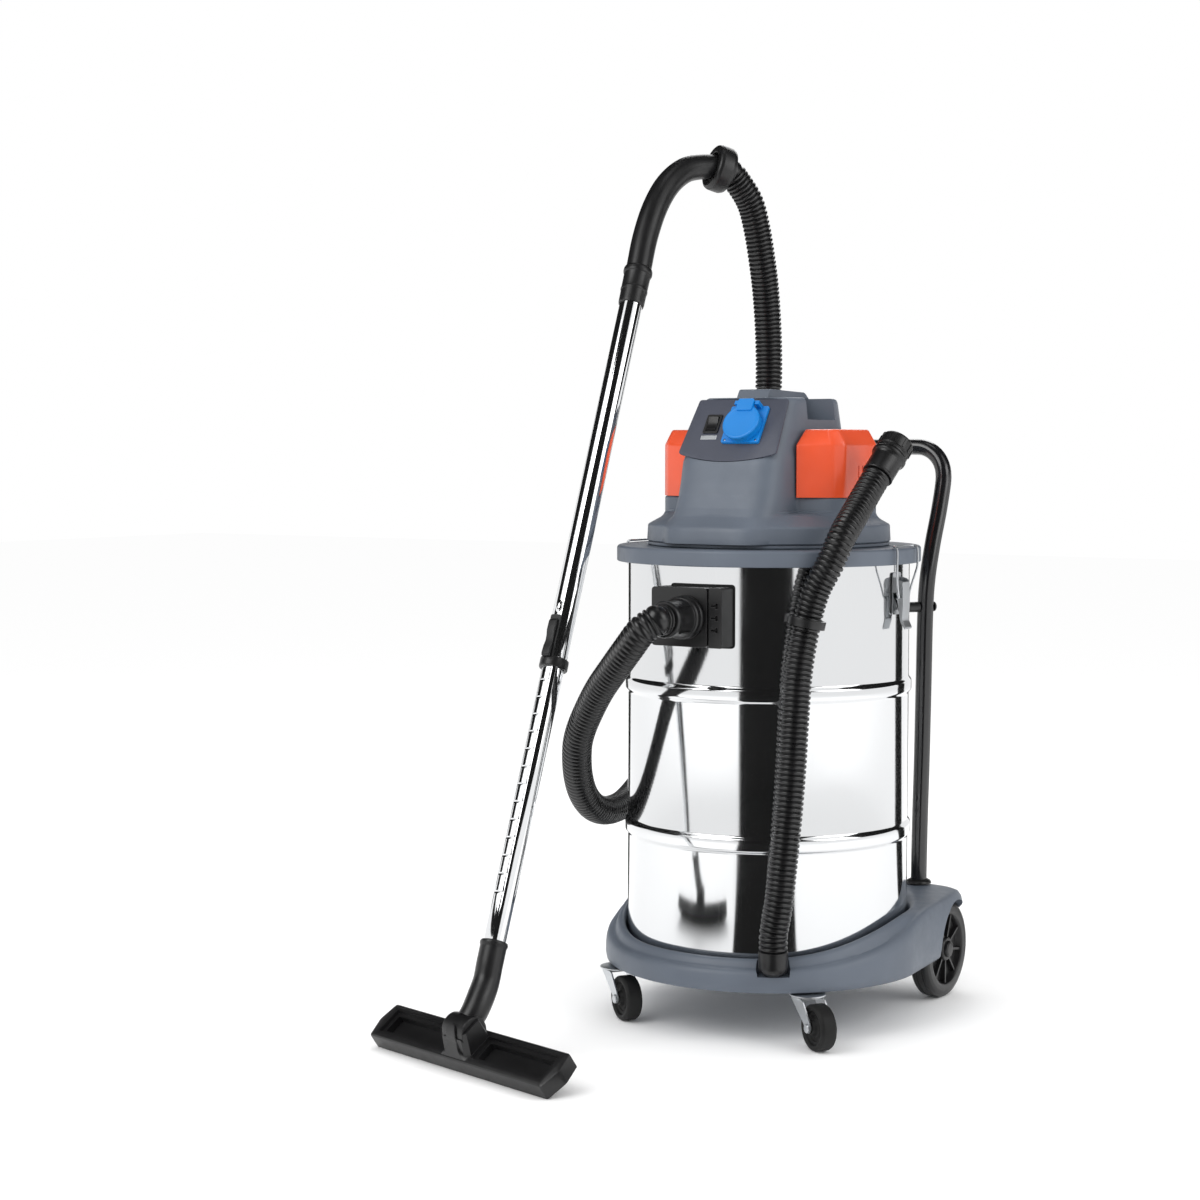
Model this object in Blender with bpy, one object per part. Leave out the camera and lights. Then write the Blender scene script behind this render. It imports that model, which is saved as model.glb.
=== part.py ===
"""Wet and dry shop vacuum: steel tank on a trolley, motor head, hoses, wand and floor tool.

Metres, +Z up, front of the machine towards -Y.  Everything is modelled about the tank's axis
at floor level and hangs from one empty, which stands off the origin so that the origin is
the middle of the whole footprint.
"""
from math import cos, hypot, pi, radians, sin

import bmesh
import bpy
from mathutils import Matrix, Vector

# ---------------------------------------------------------------- driving dimensions
FOOTPRINT_SHIFT = Vector((0.0539, 0.1468, 0.0))
GAP = 0.0003

TANK_RADIUS = 0.210
TANK_WALL = 0.0015
TANK_BOTTOM = 0.0965
TANK_TOP = 0.689
BEAD_HEIGHT = 0.004
BEADS = ((0.267, 0.295), (0.481, 0.508))

BASE_RADIUS = 0.243
BASE_REAR_Y = 0.270
BASE_REAR_HALF = 0.214
BASE_BOTTOM = 0.0745
BASE_FLOOR = 0.096
LIP_FRONT_Z = 0.121
LIP_REAR_Z = 0.163
POCKET_RADIUS = 0.2125

CASTER_X = 0.160
CASTER_Y = -0.168
CASTER_TRAIL = 0.033
CASTER_YAW = -33.0
CASTER_RADIUS = 0.033
CASTER_HALF_WIDTH = 0.0125

REAR_WHEEL_X = 0.188
REAR_WHEEL_Y = 0.207
REAR_WHEEL_RADIUS = 0.074
REAR_WHEEL_HALF_WIDTH = 0.016
AXLE_RADIUS = 0.006

RING_RADIUS = 0.2265
RING_BOTTOM = 0.677
RING_TOP = 0.7005
SKIRT_RADIUS = 0.1815
HEAD_FLOOR = 0.707
HEAD_TOP = 0.918
FINGER_FLOOR = 0.886

PANEL_CENTRE = Vector((0.0, -0.100, 0.878))
PANEL_TILT = 33.0
PANEL_THICKNESS = 0.003
SOCKET_SPOT = Vector((0.018, -0.005, 0.0))
SOCKET_HOLE = 0.0245
SOCKET_HINGE = Vector((0, 0.0305, 0.0145))
SWITCH_HOLE = ((-0.0468, -0.0108, -0.03), (-0.0292, 0.0128, 0.03))

INLET_Z = 0.606
SUCTION_RADIUS = 0.022
DRAIN_SPOT = Vector((0.1208, -0.1983, 0))
DRAIN_PORT_Z = 0.118
DRAIN_RADIUS = 0.0205

WAND_TOP = Vector((-0.223, -0.032, 1.065))
WAND_END = Vector((-0.168, -0.470, 0.164))
OUTER_TUBE = (0.0175, 0.0163)
INNER_TUBE = (0.0160, 0.0148)

TOOL_FRONT = Vector((-0.1692, -0.5519, 0.0))
TOOL_YAW = -13.9
TOOL_PITCH = 35.0
TOOL_HALF_WIDTH = 0.184
TOOL_DEPTH = 0.062
TOOL_HEIGHT = 0.024
TOOL_KNUCKLE = Vector((0, 0.040, 0.040))
KNUCKLE_RADIUS = 0.0220

SUCTION_ROUTE = (
    (0.000, -0.3003, 0.606),
    (0.000, -0.3200, 0.606),
    (-0.016, -0.331, 0.592),
    (-0.038, -0.328, 0.568),
    (-0.070, -0.314, 0.538),
    (-0.111, -0.292, 0.501),
    (-0.147, -0.270, 0.461),
    (-0.170, -0.254, 0.431),
    (-0.185, -0.239, 0.405),
    (-0.202, -0.212, 0.367),
    (-0.214, -0.182, 0.334),
    (-0.221, -0.150, 0.310),
    (-0.227, -0.115, 0.296),
    (-0.233, -0.072, 0.290),
    (-0.239, -0.022, 0.295),
    (-0.246, 0.040, 0.320),
    (-0.249, 0.100, 0.365),
    (-0.246, 0.158, 0.430),
    (-0.236, 0.210, 0.505),
    (-0.222, 0.252, 0.590),
    (-0.206, 0.284, 0.680),
    (-0.192, 0.304, 0.770),
    (-0.181, 0.314, 0.860),
    (-0.175, 0.314, 0.945),
    (-0.170, 0.304, 1.020),
    (-0.165, 0.286, 1.091),
    (-0.161, 0.266, 1.143),
    (-0.161, 0.246, 1.200),
    (-0.1645, 0.227, 1.241),
    (-0.1785, 0.1969, 1.2808),
    (-0.1899, 0.1815, 1.2864),
)

DRAIN_ROUTE = (
    (0.1208, -0.1983, 0.1353),
    (0.1208, -0.1983, 0.1580),
    (0.1290, -0.1971, 0.205),
    (0.1341, -0.1940, 0.263),
    (0.1391, -0.1899, 0.331),
    (0.1432, -0.1869, 0.400),
    (0.1462, -0.1848, 0.468),
    (0.1505, -0.1820, 0.537),
    (0.1590, -0.1748, 0.601),
    (0.1715, -0.1715, 0.646),
    (0.189, -0.166, 0.682),
    (0.201, -0.150, 0.7225),
    (0.2015, -0.111, 0.754),
    (0.2055, -0.0745, 0.789),
    (0.2088, -0.0596, 0.8048),
)
CUFF_AXIS = Vector((0.152, 0.679, 0.718)).normalized()

GRIP_ROUTE = (
    (-0.2263, -0.0058, 1.119),
    (-0.2285, 0.016, 1.168),
    (-0.2275, 0.042, 1.215),
    (-0.2245, 0.075, 1.2535),
    (-0.218, 0.113, 1.279),
    (-0.2065, 0.146, 1.288),
    (-0.1957, 0.1736, 1.2893),
)
CUFF_RING_CENTRE = Vector((-0.1910, 0.1800, 1.2870))
CUFF_RING_AXIS = Vector((0.570, 0.770, -0.280)).normalized()

HANDLE_X = 0.135
HANDLE_Y = 0.247
HANDLE_TOP_X = 0.150
HANDLE_TOP_Y = 0.291
HANDLE_TOP_Z = 0.846
HANDLE_TUBE = 0.0125
HANDLE_BEND = 0.050
SPACER_SPOT = (0.1412, 0.2495)
SPACER_Z = 0.598

LATCH_PIVOT_Z = 0.647
LATCH_PIVOT_X = 0.2235
BAIL_OFFSET = 0.018
BAIL_WIRE = 0.0015

LYING_X = Matrix.Rotation(radians(90), 3, "Y")
LYING_Y = Matrix.Rotation(radians(90), 3, "X")
SIDE_ON = Matrix(((0, 0, 1), (1, 0, 0), (0, 1, 0)))
FORWARD = (0, -1, 0)

# ---------------------------------------------------------------- scene and materials
for item in list(bpy.data.objects):
    bpy.data.objects.remove(item, do_unlink=True)

scene = bpy.context.scene


def material(name, colour, roughness, metallic=0.0):
    made = bpy.data.materials.new(name)
    made.use_nodes = True
    shader = made.node_tree.nodes["Principled BSDF"]
    shader.inputs["Base Color"].default_value = (*colour, 1.0)
    shader.inputs["Roughness"].default_value = roughness
    shader.inputs["Metallic"].default_value = metallic
    return made


STEEL = material("polished_steel", (0.80, 0.81, 0.82), 0.12, 1.0)
ZINC = material("zinc_plate", (0.62, 0.64, 0.66), 0.35, 1.0)
CHROME = material("chrome", (0.85, 0.86, 0.88), 0.08, 1.0)
SLATE = material("slate_plastic", (0.115, 0.135, 0.170), 0.50)
PANEL_GREY = material("panel_plastic", (0.075, 0.085, 0.115), 0.55)
ORANGE = material("orange_plastic", (0.86, 0.12, 0.03), 0.40)
BLUE = material("blue_plastic", (0.0, 0.17, 0.55), 0.45)
BLACK = material("black_plastic", (0.012, 0.012, 0.013), 0.40)
HOSE_BLACK = material("hose_plastic", (0.010, 0.010, 0.011), 0.45)
TUBE_BLACK = material("black_paint", (0.010, 0.010, 0.011), 0.25)
RUBBER = material("rubber", (0.015, 0.015, 0.015), 0.80)
FILTER_WHITE = material("filter_fabric", (0.75, 0.73, 0.68), 0.95)


def empty(name, place, parent=None, turn=None):
    made = bpy.data.objects.new(name, None)
    scene.collection.objects.link(made)
    made.parent = parent
    made.matrix_local = Matrix.Translation(place) @ (turn or Matrix()).to_4x4()
    return made


ROOT = empty("vacuum_origin", FOOTPRINT_SHIFT)


def node(name, mesh, finish, parent=ROOT, place=(0, 0, 0), turn=None, sharp=40.0):
    """One named body from a bmesh that is drawn about its own origin."""
    bmesh.ops.recalc_face_normals(mesh, faces=mesh.faces[:])
    data = bpy.data.meshes.new(name)
    mesh.to_mesh(data)
    mesh.free()
    data.materials.append(finish)
    data.shade_smooth()
    data.set_sharp_from_angle(angle=radians(sharp))
    made = bpy.data.objects.new(name, data)
    scene.collection.objects.link(made)
    made.parent = parent
    made.matrix_local = Matrix.Translation(place) @ (turn or Matrix()).to_4x4()
    return made


def boolean(target, mesh, operation="DIFFERENCE", place=(0, 0, 0), turn=None):
    """Join or cut with a hidden helper that shares the target's parent and axes."""
    name = f"{target.name}_helper_{len(target.modifiers)}"
    helper = node(name, mesh, target.data.materials[0], parent=target, place=place, turn=turn)
    helper.hide_render = True
    helper.display_type = "WIRE"
    step = target.modifiers.new(name, "BOOLEAN")
    step.operation = operation
    step.solver = "EXACT"
    step.object = helper
    return step


# ---------------------------------------------------------------- shape makers
def turned(profile, segments=32):
    """Revolve (radius, height) points about Z; a profile off the axis makes a ring."""
    mesh = bmesh.new()
    rings = []
    for radius, height in profile:
        count = segments if radius > 1e-6 else 1
        angles = [2 * pi * k / segments for k in range(count)]
        rings.append([mesh.verts.new((radius * cos(a), radius * sin(a), height)) for a in angles])
    pairs = list(zip(rings, rings[1:]))
    if len(rings[0]) > 1:
        pairs.append((rings[-1], rings[0]))
    for one, two in pairs:
        for k in range(segments):
            j = (k + 1) % segments
            corners = (one[k % len(one)], one[j % len(one)], two[j % len(two)], two[k % len(two)])
            corners = list(dict.fromkeys(corners))
            if len(corners) > 2:
                mesh.faces.new(corners)
    return mesh


def cylinder(radius, low, high, segments=24):
    return turned(((0, low), (radius, low), (radius, high), (0, high)), segments)


def pipe(outer, inner, low, high, segments=24):
    return turned(((outer, low), (outer, high), (inner, high), (inner, low)), segments)


def box(low, high, bevel=0.0):
    mesh = bmesh.new()
    bmesh.ops.create_cube(mesh, size=1.0)
    low, high = Vector(low), Vector(high)
    for vert in mesh.verts:
        for axis in range(3):
            vert.co[axis] = high[axis] if vert.co[axis] > 0 else low[axis]
    if bevel:
        bmesh.ops.bevel(mesh, geom=mesh.edges[:], offset=bevel, segments=1, affect="EDGES")
    return mesh


def lofted(sections):
    """Skin a list of point loops of equal length and close both ends."""
    mesh = bmesh.new()
    loops = [[mesh.verts.new(point) for point in section] for section in sections]
    count = len(loops[0])
    for one, two in zip(loops, loops[1:]):
        for k in range(count):
            j = (k + 1) % count
            mesh.faces.new((one[k], one[j], two[j], two[k]))
    mesh.faces.new(loops[0][::-1])
    mesh.faces.new(loops[-1])
    return mesh


def extruded(outline, low, high):
    return lofted([[(x, y, z) for x, y in outline] for z in (low, high)])


def smooth_route(points, spacing):
    """Points at even spacing on the smooth curve through the given ones."""
    path = [Vector(p) for p in points]
    path = [2 * path[0] - path[1]] + path + [2 * path[-1] - path[-2]]
    fine = []
    for k in range(1, len(path) - 2):
        before, start, end, after = path[k - 1:k + 3]
        for step in range(20):
            t = step / 20
            fine.append(0.5 * (2 * start + (end - before) * t
                               + (2 * before - 5 * start + 4 * end - after) * t ** 2
                               + (3 * start - before - 3 * end + after) * t ** 3))
    fine.append(path[-2])
    total = sum((b - a).length for a, b in zip(fine, fine[1:]))
    count = max(2, round(total / spacing))
    wanted = [total * k / count for k in range(count + 1)]
    even, walked = [fine[0]], 0.0
    for a, b in zip(fine, fine[1:]):
        length = (b - a).length
        while len(even) < count and wanted[len(even)] <= walked + length:
            even.append(a.lerp(b, (wanted[len(even)] - walked) / length))
        walked += length
    even.append(fine[-1])
    return even


def swept(points, radius, sides=12):
    """Round bar along a path, with flat ends square to it."""
    path = [Vector(p) for p in points]
    heading = (path[1] - path[0]).normalized()
    side = heading.orthogonal().normalized()
    sections = []
    for k, point in enumerate(path):
        ahead = path[min(k + 1, len(path) - 1)] - path[max(k - 1, 0)]
        ahead.normalize()
        side = (side - ahead * side.dot(ahead)).normalized()
        up = ahead.cross(side)
        angles = [2 * pi * s / sides for s in range(sides)]
        sections.append([point + radius * (side * cos(a) + up * sin(a)) for a in angles])
    return lofted(sections)


def hose(name, route, radius):
    """Free hose: a round tube, straight at its two ends and smooth and even between."""
    data = bpy.data.curves.new(name, "CURVE")
    data.dimensions = "3D"
    data.bevel_depth = radius
    data.bevel_resolution = 2
    data.use_fill_caps = True
    points = [Vector(route[0])] + smooth_route(route[1:-1], radius * 3) + [Vector(route[-1])]
    spline = data.splines.new("POLY")
    spline.points.add(len(points) - 1)
    for target, point in zip(spline.points, points):
        target.co = (*point, 1.0)
    data.materials.append(HOSE_BLACK)
    made = bpy.data.objects.new(name, data)
    scene.collection.objects.link(made)
    made.parent = ROOT
    return made


def aim(axis, side=(0, 0, 1)):
    """Rotation that takes local Z to the axis and keeps local X near the side vector."""
    z = Vector(axis).normalized()
    x = Vector(side)
    x = (x - z * x.dot(z)).normalized()
    return Matrix((x, z.cross(x), z)).transposed()


def arc(centre, radius, start, end, steps):
    """Points on a circle, angles in degrees."""
    angles = [radians(start + (end - start) * k / steps) for k in range(steps + 1)]
    return [(centre[0] + radius * cos(a), centre[1] + radius * sin(a)) for a in angles]


# ---------------------------------------------------------------- trolley base
def base_reach(angle):
    """Distance from the tank's axis to the base's edge: round in front, squared behind."""
    x, y = cos(angle), sin(angle)
    if y <= 0:
        return BASE_RADIUS
    slope = (BASE_RADIUS - BASE_REAR_HALF) / BASE_REAR_Y
    return min(BASE_RADIUS / (abs(x) + slope * y), BASE_REAR_Y / y)


def lip_height(y):
    """The rim round the tank climbs from the front to the rear deck."""
    t = min(1.0, max(0.0, (y + 0.21) / 0.24))
    return LIP_FRONT_Z + (LIP_REAR_Z - LIP_FRONT_Z) * t * t * (3 - 2 * t)


def make_base():
    steps = 72
    angles = [2 * pi * k / steps for k in range(steps)]
    loops = []
    for inset, height in ((0.004, None), (0.0, 0.30), (0.0, 0.75), (0.012, 1.0)):
        loop = []
        for a in angles:
            reach = base_reach(a) - inset
            top = lip_height(reach * sin(a))
            z = BASE_BOTTOM if height is None else BASE_BOTTOM + height * (top - BASE_BOTTOM)
            loop.append((reach * cos(a), reach * sin(a), z))
        loops.append(loop)
    rim = [(POCKET_RADIUS * cos(a), POCKET_RADIUS * sin(a)) for a in angles]
    loops.append([(x, y, lip_height(y)) for x, y in rim])
    loops.append([(x, y, BASE_FLOOR) for x, y in rim])
    body = lofted(loops)
    bmesh.ops.triangulate(body, faces=body.faces[:])
    tray = node("base_tray", body, SLATE)
    wheel_well = 0.2095
    for side in (-1, 1):
        ends = sorted((side * (REAR_WHEEL_X - REAR_WHEEL_HALF_WIDTH - 0.003), side * wheel_well))
        boolean(tray, cylinder(REAR_WHEEL_RADIUS + 0.0035, *ends, 32),
                place=(0, REAR_WHEEL_Y, REAR_WHEEL_RADIUS), turn=LYING_X)
        boolean(tray, cylinder(HANDLE_TUBE + 0.0007, 0.100, 0.20, 16),
                place=(side * HANDLE_X, HANDLE_Y, 0))
    axle_slot = box((-wheel_well, REAR_WHEEL_Y - 0.0075, 0.0), (wheel_well, REAR_WHEEL_Y + 0.0075, 0.0815))
    boolean(tray, axle_slot)
    boolean(tray, cylinder(0.0245, 0.0995, 0.20, 20), place=DRAIN_SPOT)


def make_caster(side, word):
    place = (side * CASTER_X, CASTER_Y, 0)
    plate = turned(((0, 0.0703), (0.017, 0.0703), (0.019, 0.0718), (0.026, 0.0718),
                    (0.026, 0.0742), (0, 0.0742)), 20)
    node(f"caster_plate_{word}", plate, ZINC, place=place)
    swivel = empty(f"caster_swivel_{word}", place, ROOT, Matrix.Rotation(radians(CASTER_YAW), 3, "Z"))
    crown = [(x, y) for x, y in arc((0, 0), 0.019, 90, 270, 8)] + [(0.006, -0.019), (0.006, 0.019)]
    fork = node(f"caster_fork_{word}", extruded(crown, 0.0672, 0.0700), ZINC, swivel)
    cheek = ((-0.016, 0.0686), (0.016, 0.0686), (CASTER_TRAIL + 0.008, 0.036),
             (CASTER_TRAIL + 0.005, 0.027), (CASTER_TRAIL - 0.005, 0.027), (CASTER_TRAIL - 0.009, 0.034))
    for low, high in ((-0.0185, -0.0160), (0.0160, 0.0185)):
        boolean(fork, extruded(cheek, low, high), "UNION", turn=LYING_Y)
    boolean(fork, cylinder(0.0043, -0.03, 0.03, 12), place=(CASTER_TRAIL, 0, CASTER_RADIUS), turn=LYING_Y)
    hub = (CASTER_TRAIL, 0, CASTER_RADIUS)
    pin = turned(((0, -0.0215), (0.0065, -0.0215), (0.0065, -0.0189), (0.0040, -0.0189),
                  (0.0040, 0.0189), (0.0065, 0.0189), (0.0065, 0.0215), (0, 0.0215)), 12)
    node(f"caster_axle_{word}", pin, ZINC, swivel, hub, LYING_Y)
    r, w = CASTER_RADIUS, CASTER_HALF_WIDTH
    tyre = turned(((0.0043, -0.0140), (0.010, -0.0140), (0.012, -0.008), (r - 0.009, -0.008),
                   (r - 0.006, -w), (r, -w + 0.003), (r, w - 0.003), (r - 0.006, w),
                   (r - 0.009, 0.008), (0.012, 0.008), (0.010, 0.0140), (0.0043, 0.0140)), 24)
    node(f"caster_wheel_{word}", tyre, RUBBER, swivel, hub, LYING_Y)


def make_rear_wheel(side, word):
    r, w = REAR_WHEEL_RADIUS, REAR_WHEEL_HALF_WIDTH
    bore = AXLE_RADIUS + GAP
    profile = ((bore, -w), (0.018, -w), (0.020, -0.006), (0.052, -0.006), (0.056, -w),
               (r - 0.004, -w), (r, -w + 0.005), (r, w - 0.005), (r - 0.004, w),
               (0.056, w), (0.052, 0.006), (0.020, 0.006), (0.018, w), (bore, w))
    hub = (side * REAR_WHEEL_X, REAR_WHEEL_Y, REAR_WHEEL_RADIUS)
    node(f"rear_wheel_{word}", turned(profile, 32), BLACK, place=hub, turn=LYING_X)
    face = w + GAP
    cap = turned(((AXLE_RADIUS + GAP, face), (0.013, face), (0.011, face + 0.0035), (0.009, face + 0.0048),
                  (0, face + 0.0048), (0, face + 0.0038), (AXLE_RADIUS + GAP, face + 0.0038)), 20)
    node(f"axle_cap_{word}", cap, BLACK, place=hub, turn=aim((side, 0, 0)))


def make_running_gear():
    make_base()
    half = REAR_WHEEL_X + REAR_WHEEL_HALF_WIDTH + 0.0035
    node("rear_axle", cylinder(AXLE_RADIUS, -half, half, 16), ZINC,
         place=(0, REAR_WHEEL_Y, REAR_WHEEL_RADIUS), turn=LYING_X)
    for side, word in ((-1, "left"), (1, "right")):
        make_caster(side, word)
        make_rear_wheel(side, word)


# ---------------------------------------------------------------- push handle
def make_push_handle():
    """One bent tube: two uprights that lean back near the top and a crossbar."""
    side_path = [(HANDLE_X, HANDLE_Y, 0.1005), (HANDLE_X, HANDLE_Y, 0.180),
                 (0.138, 0.248, 0.36), (0.141, 0.249, 0.585),
                 (0.1425, 0.2525, 0.640), (0.145, 0.265, 0.695),
                 (0.148, 0.280, 0.745), (HANDLE_TOP_X, HANDLE_TOP_Y, 0.790)]
    for a in (20, 40, 60, 80, 90):
        rise = sin(radians(a))
        side_path.append((HANDLE_TOP_X - HANDLE_BEND * (1 - cos(radians(a))),
                          HANDLE_TOP_Y + 0.012 * rise,
                          HANDLE_TOP_Z - HANDLE_BEND * (1 - rise)))
    mirrored = [(-x, y, z) for x, y, z in reversed(side_path)]
    node("push_handle", swept(side_path + mirrored, HANDLE_TUBE, 12), TUBE_BLACK)
    reach = hypot(*SPACER_SPOT)
    for side, word in ((-1, "left"), (1, "right")):
        turn = aim((side * SPACER_SPOT[0], SPACER_SPOT[1], 0))
        spacer = cylinder(0.008, TANK_RADIUS + 0.0007, reach - HANDLE_TUBE - 0.0009, 16)
        node(f"handle_spacer_{word}", spacer, BLACK, place=(0, 0, SPACER_Z), turn=turn)
        start = reach + HANDLE_TUBE + 0.0012
        bolt = turned(((0, start), (0.008, start), (0.0075, start + 0.003), (0.004, start + 0.005),
                       (0, start + 0.0055)), 12)
        node(f"handle_bolt_{word}", bolt, BLACK, place=(0, 0, SPACER_Z), turn=turn)


# ---------------------------------------------------------------- tank and its fittings
def tank_wall(offset):
    """The wall's outline from bottom to rim, at an offset from the outer face."""
    points = [(TANK_RADIUS + offset, TANK_BOTTOM - offset)]
    for low, high in BEADS:
        for z, out in ((low, 0), (low + 0.006, BEAD_HEIGHT), (high - 0.006, BEAD_HEIGHT), (high, 0)):
            points.append((TANK_RADIUS + offset + out, z))
    points.append((TANK_RADIUS + offset, TANK_TOP))
    return points


def make_tank():
    outside = [(0, TANK_BOTTOM)] + tank_wall(0)
    inside = tank_wall(-TANK_WALL)[::-1] + [(0, TANK_BOTTOM + TANK_WALL)]
    tank = node("tank", turned(outside + inside, 44), STEEL)
    boolean(tank, cylinder(0.028, 0.18, 0.25, 20), place=(0, 0, INLET_Z), turn=aim(FORWARD))
    boolean(tank, cylinder(0.0125, 0.18, 0.25, 12), place=(0, 0, DRAIN_PORT_Z), turn=aim(DRAIN_SPOT))
    node("tank_seal", pipe(0.2115, 0.2045, TANK_TOP + GAP, RING_TOP - 0.0075 - GAP, 40), RUBBER)


def make_inlet():
    half, face = 0.0575, 0.240
    block = box((-half, -face, INLET_Z - 0.043), (half, -0.190, INLET_Z + 0.043), 0.004)
    housing = node("inlet_housing", block, BLACK)
    boolean(housing, cylinder(TANK_RADIUS + 0.0006, 0.5, 0.7, 96))
    boolean(housing, cylinder(0.021, 0.15, 0.26, 20), place=(0, 0, INLET_Z), turn=aim(FORWARD))
    profile = ((0.031, face + GAP), (0.031, 0.248), (0.0275, 0.251), (0.0265, 0.262), (0.0250, 0.290),
               (0.0245, 0.300), (0.019, 0.300), (0.019, face + GAP))
    node("hose_connector", turned(profile, 28), BLACK, place=(0, 0, INLET_Z), turn=aim(FORWARD))


def make_drain():
    body = turned(((0, 0.1003), (0.012, 0.1003), (0.0195, 0.108), (0.0205, 0.114), (0.0205, 0.135),
                   (0.0165, 0.135), (0.0165, 0.125), (0, 0.125)), 20)
    elbow = node("drain_elbow", body, BLACK, place=DRAIN_SPOT)
    boolean(elbow, cylinder(0.0118, 0.012, 0.034, 12), "UNION",
            place=(0, 0, DRAIN_PORT_Z), turn=aim(-DRAIN_SPOT))
    hose("drain_hose", DRAIN_ROUTE, DRAIN_RADIUS)
    here = Vector(DRAIN_ROUTE[8])
    along = Vector(DRAIN_ROUTE[9]) - Vector(DRAIN_ROUTE[7])
    clip = node("drain_clip", pipe(0.0265, 0.0236, -0.006, 0.006, 24), BLACK,
                place=here, turn=aim(along, (1, 0, 0)))
    cut = boolean(clip, cylinder(TANK_RADIUS + 0.0004, 0.55, 0.65, 96))
    cut.object.parent = ROOT
    cut.object.matrix_local = Matrix()
    end = Vector(DRAIN_ROUTE[-1])
    turn = aim(CUFF_AXIS, (1, 0, 0))
    cuff = turned(((0.0225, 0.0004), (0.0225, 0.036), (0.0250, 0.037), (0.0250, 0.041), (0.0205, 0.0413),
                   (0.0205, 0.060), (0.0165, 0.060), (0.0165, 0.0004)), 24)
    node("drain_cuff", cuff, BLACK, place=end, turn=turn)
    cap = turned(((0.0209, 0.0418), (0.0245, 0.0418), (0.0245, 0.066), (0.0225, 0.068), (0, 0.068),
                  (0, 0.0605), (0.0209, 0.0605)), 24)
    node("drain_cap", cap, BLACK, place=end, turn=turn)


# ---------------------------------------------------------------- toggle latches
def make_latch(side, word):
    mirror = Matrix.Rotation(0 if side > 0 else pi, 3, "Z")
    frame = empty(f"latch_frame_{word}", (0, 0, 0), ROOT, mirror)
    plate = box((0.2108, -0.0130, 0.605), (0.2128, 0.0130, 0.664))
    bracket = node(f"latch_bracket_{word}", plate, ZINC, frame)
    for low in (-0.0130, 0.0117):
        ear = box((0.2120, low, LATCH_PIVOT_Z - 0.008), (0.2275, low + 0.0013, LATCH_PIVOT_Z + 0.008))
        boolean(bracket, ear, "UNION")
    pivot = empty(f"latch_pivot_{word}", (LATCH_PIVOT_X, 0, LATCH_PIVOT_Z), frame)
    outline = ((-0.0035, 0.006), (0.0035, 0.006), (0.0045, -0.010), (0.0045, -0.030), (0.0030, -0.050),
               (0.0085, -0.062), (0.0065, -0.064), (-0.0005, -0.052), (-0.0035, -0.030))
    node(f"latch_lever_{word}", extruded(outline, -0.0112, 0.0112), ZINC, pivot, turn=LYING_Y)
    foot_y, wide_y = 0.0160, 0.0335
    top = (RING_TOP + BAIL_WIRE + 0.0006) - (LATCH_PIVOT_Z - BAIL_OFFSET)
    out = RING_RADIUS + BAIL_WIRE + 0.0008 - LATCH_PIVOT_X
    half = [(0, 0.0125, 0), (0, foot_y, 0), (0, foot_y + 0.002, 0.006), (0.0035, 0.029, 0.032),
            (out, wide_y, 0.046), (out, wide_y, top - 0.006), (out - 0.002, wide_y, top - 0.001),
            (out - 0.006, wide_y - 0.002, top + 0.0003), (out - 0.010, wide_y - 0.006, top + 0.0006)]
    across = half + [(x, -y, z) for x, y, z in reversed(half)]
    node(f"latch_bail_{word}", swept(across, BAIL_WIRE, 8), ZINC, pivot, (0, 0, -BAIL_OFFSET))


# ---------------------------------------------------------------- motor head
def rounded(half_x, front, rear, power, z, count=48):
    """Closed loop between a circle (power 2) and a rounded rectangle (higher powers)."""
    loop = []
    for k in range(count):
        a = 2 * pi * k / count
        c, s = cos(a), sin(a)
        x = half_x * (abs(c) ** (2 / power)) * (1 if c >= 0 else -1)
        depth = rear if s >= 0 else -front
        y = depth * (abs(s) ** (2 / power)) * (1 if s >= 0 else -1)
        loop.append((x, y, z))
    return loop


HEAD_SECTIONS = (
    (SKIRT_RADIUS, -SKIRT_RADIUS, SKIRT_RADIUS, 2.0, HEAD_FLOOR),
    (SKIRT_RADIUS, -SKIRT_RADIUS, SKIRT_RADIUS, 2.0, 0.734),
    (0.168, -0.169, 0.168, 2.0, 0.742),
    (0.150, -0.157, 0.150, 2.3, 0.748),
    (0.106, -0.145, 0.128, 3.0, 0.756),
    (0.088, -0.138, 0.118, 4.0, 0.7728),
    (0.0875, -0.130, 0.110, 5.0, 0.830),
    (0.078, -0.080, 0.098, 5.0, 0.912),
    (0.073, -0.074, 0.093, 5.0, HEAD_TOP),
)
COVER_FOOT = ((0.0895, -0.083), (0.140, -0.061), (0.153, -0.048),
              (0.153, 0.052), (0.140, 0.070), (0.0895, 0.086))


def panel_turn():
    tilt = radians(PANEL_TILT)
    across = Vector((1, 0, 0))
    uphill = Vector((0, sin(tilt), cos(tilt)))
    return Matrix((across, uphill, across.cross(uphill))).transposed()


def panel_outline(grow=0.0):
    """Straight top and sides with a bowed lower edge, in the panel's own plane."""
    lower = []
    for k in range(9):
        t = k / 8 * 2 - 1
        lower.append((t * (0.083 + grow), -0.064 - grow + 0.014 * t * t))
    return lower + [(0.076 + grow, 0.047 + grow), (-0.076 - grow, 0.047 + grow)]


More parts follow.
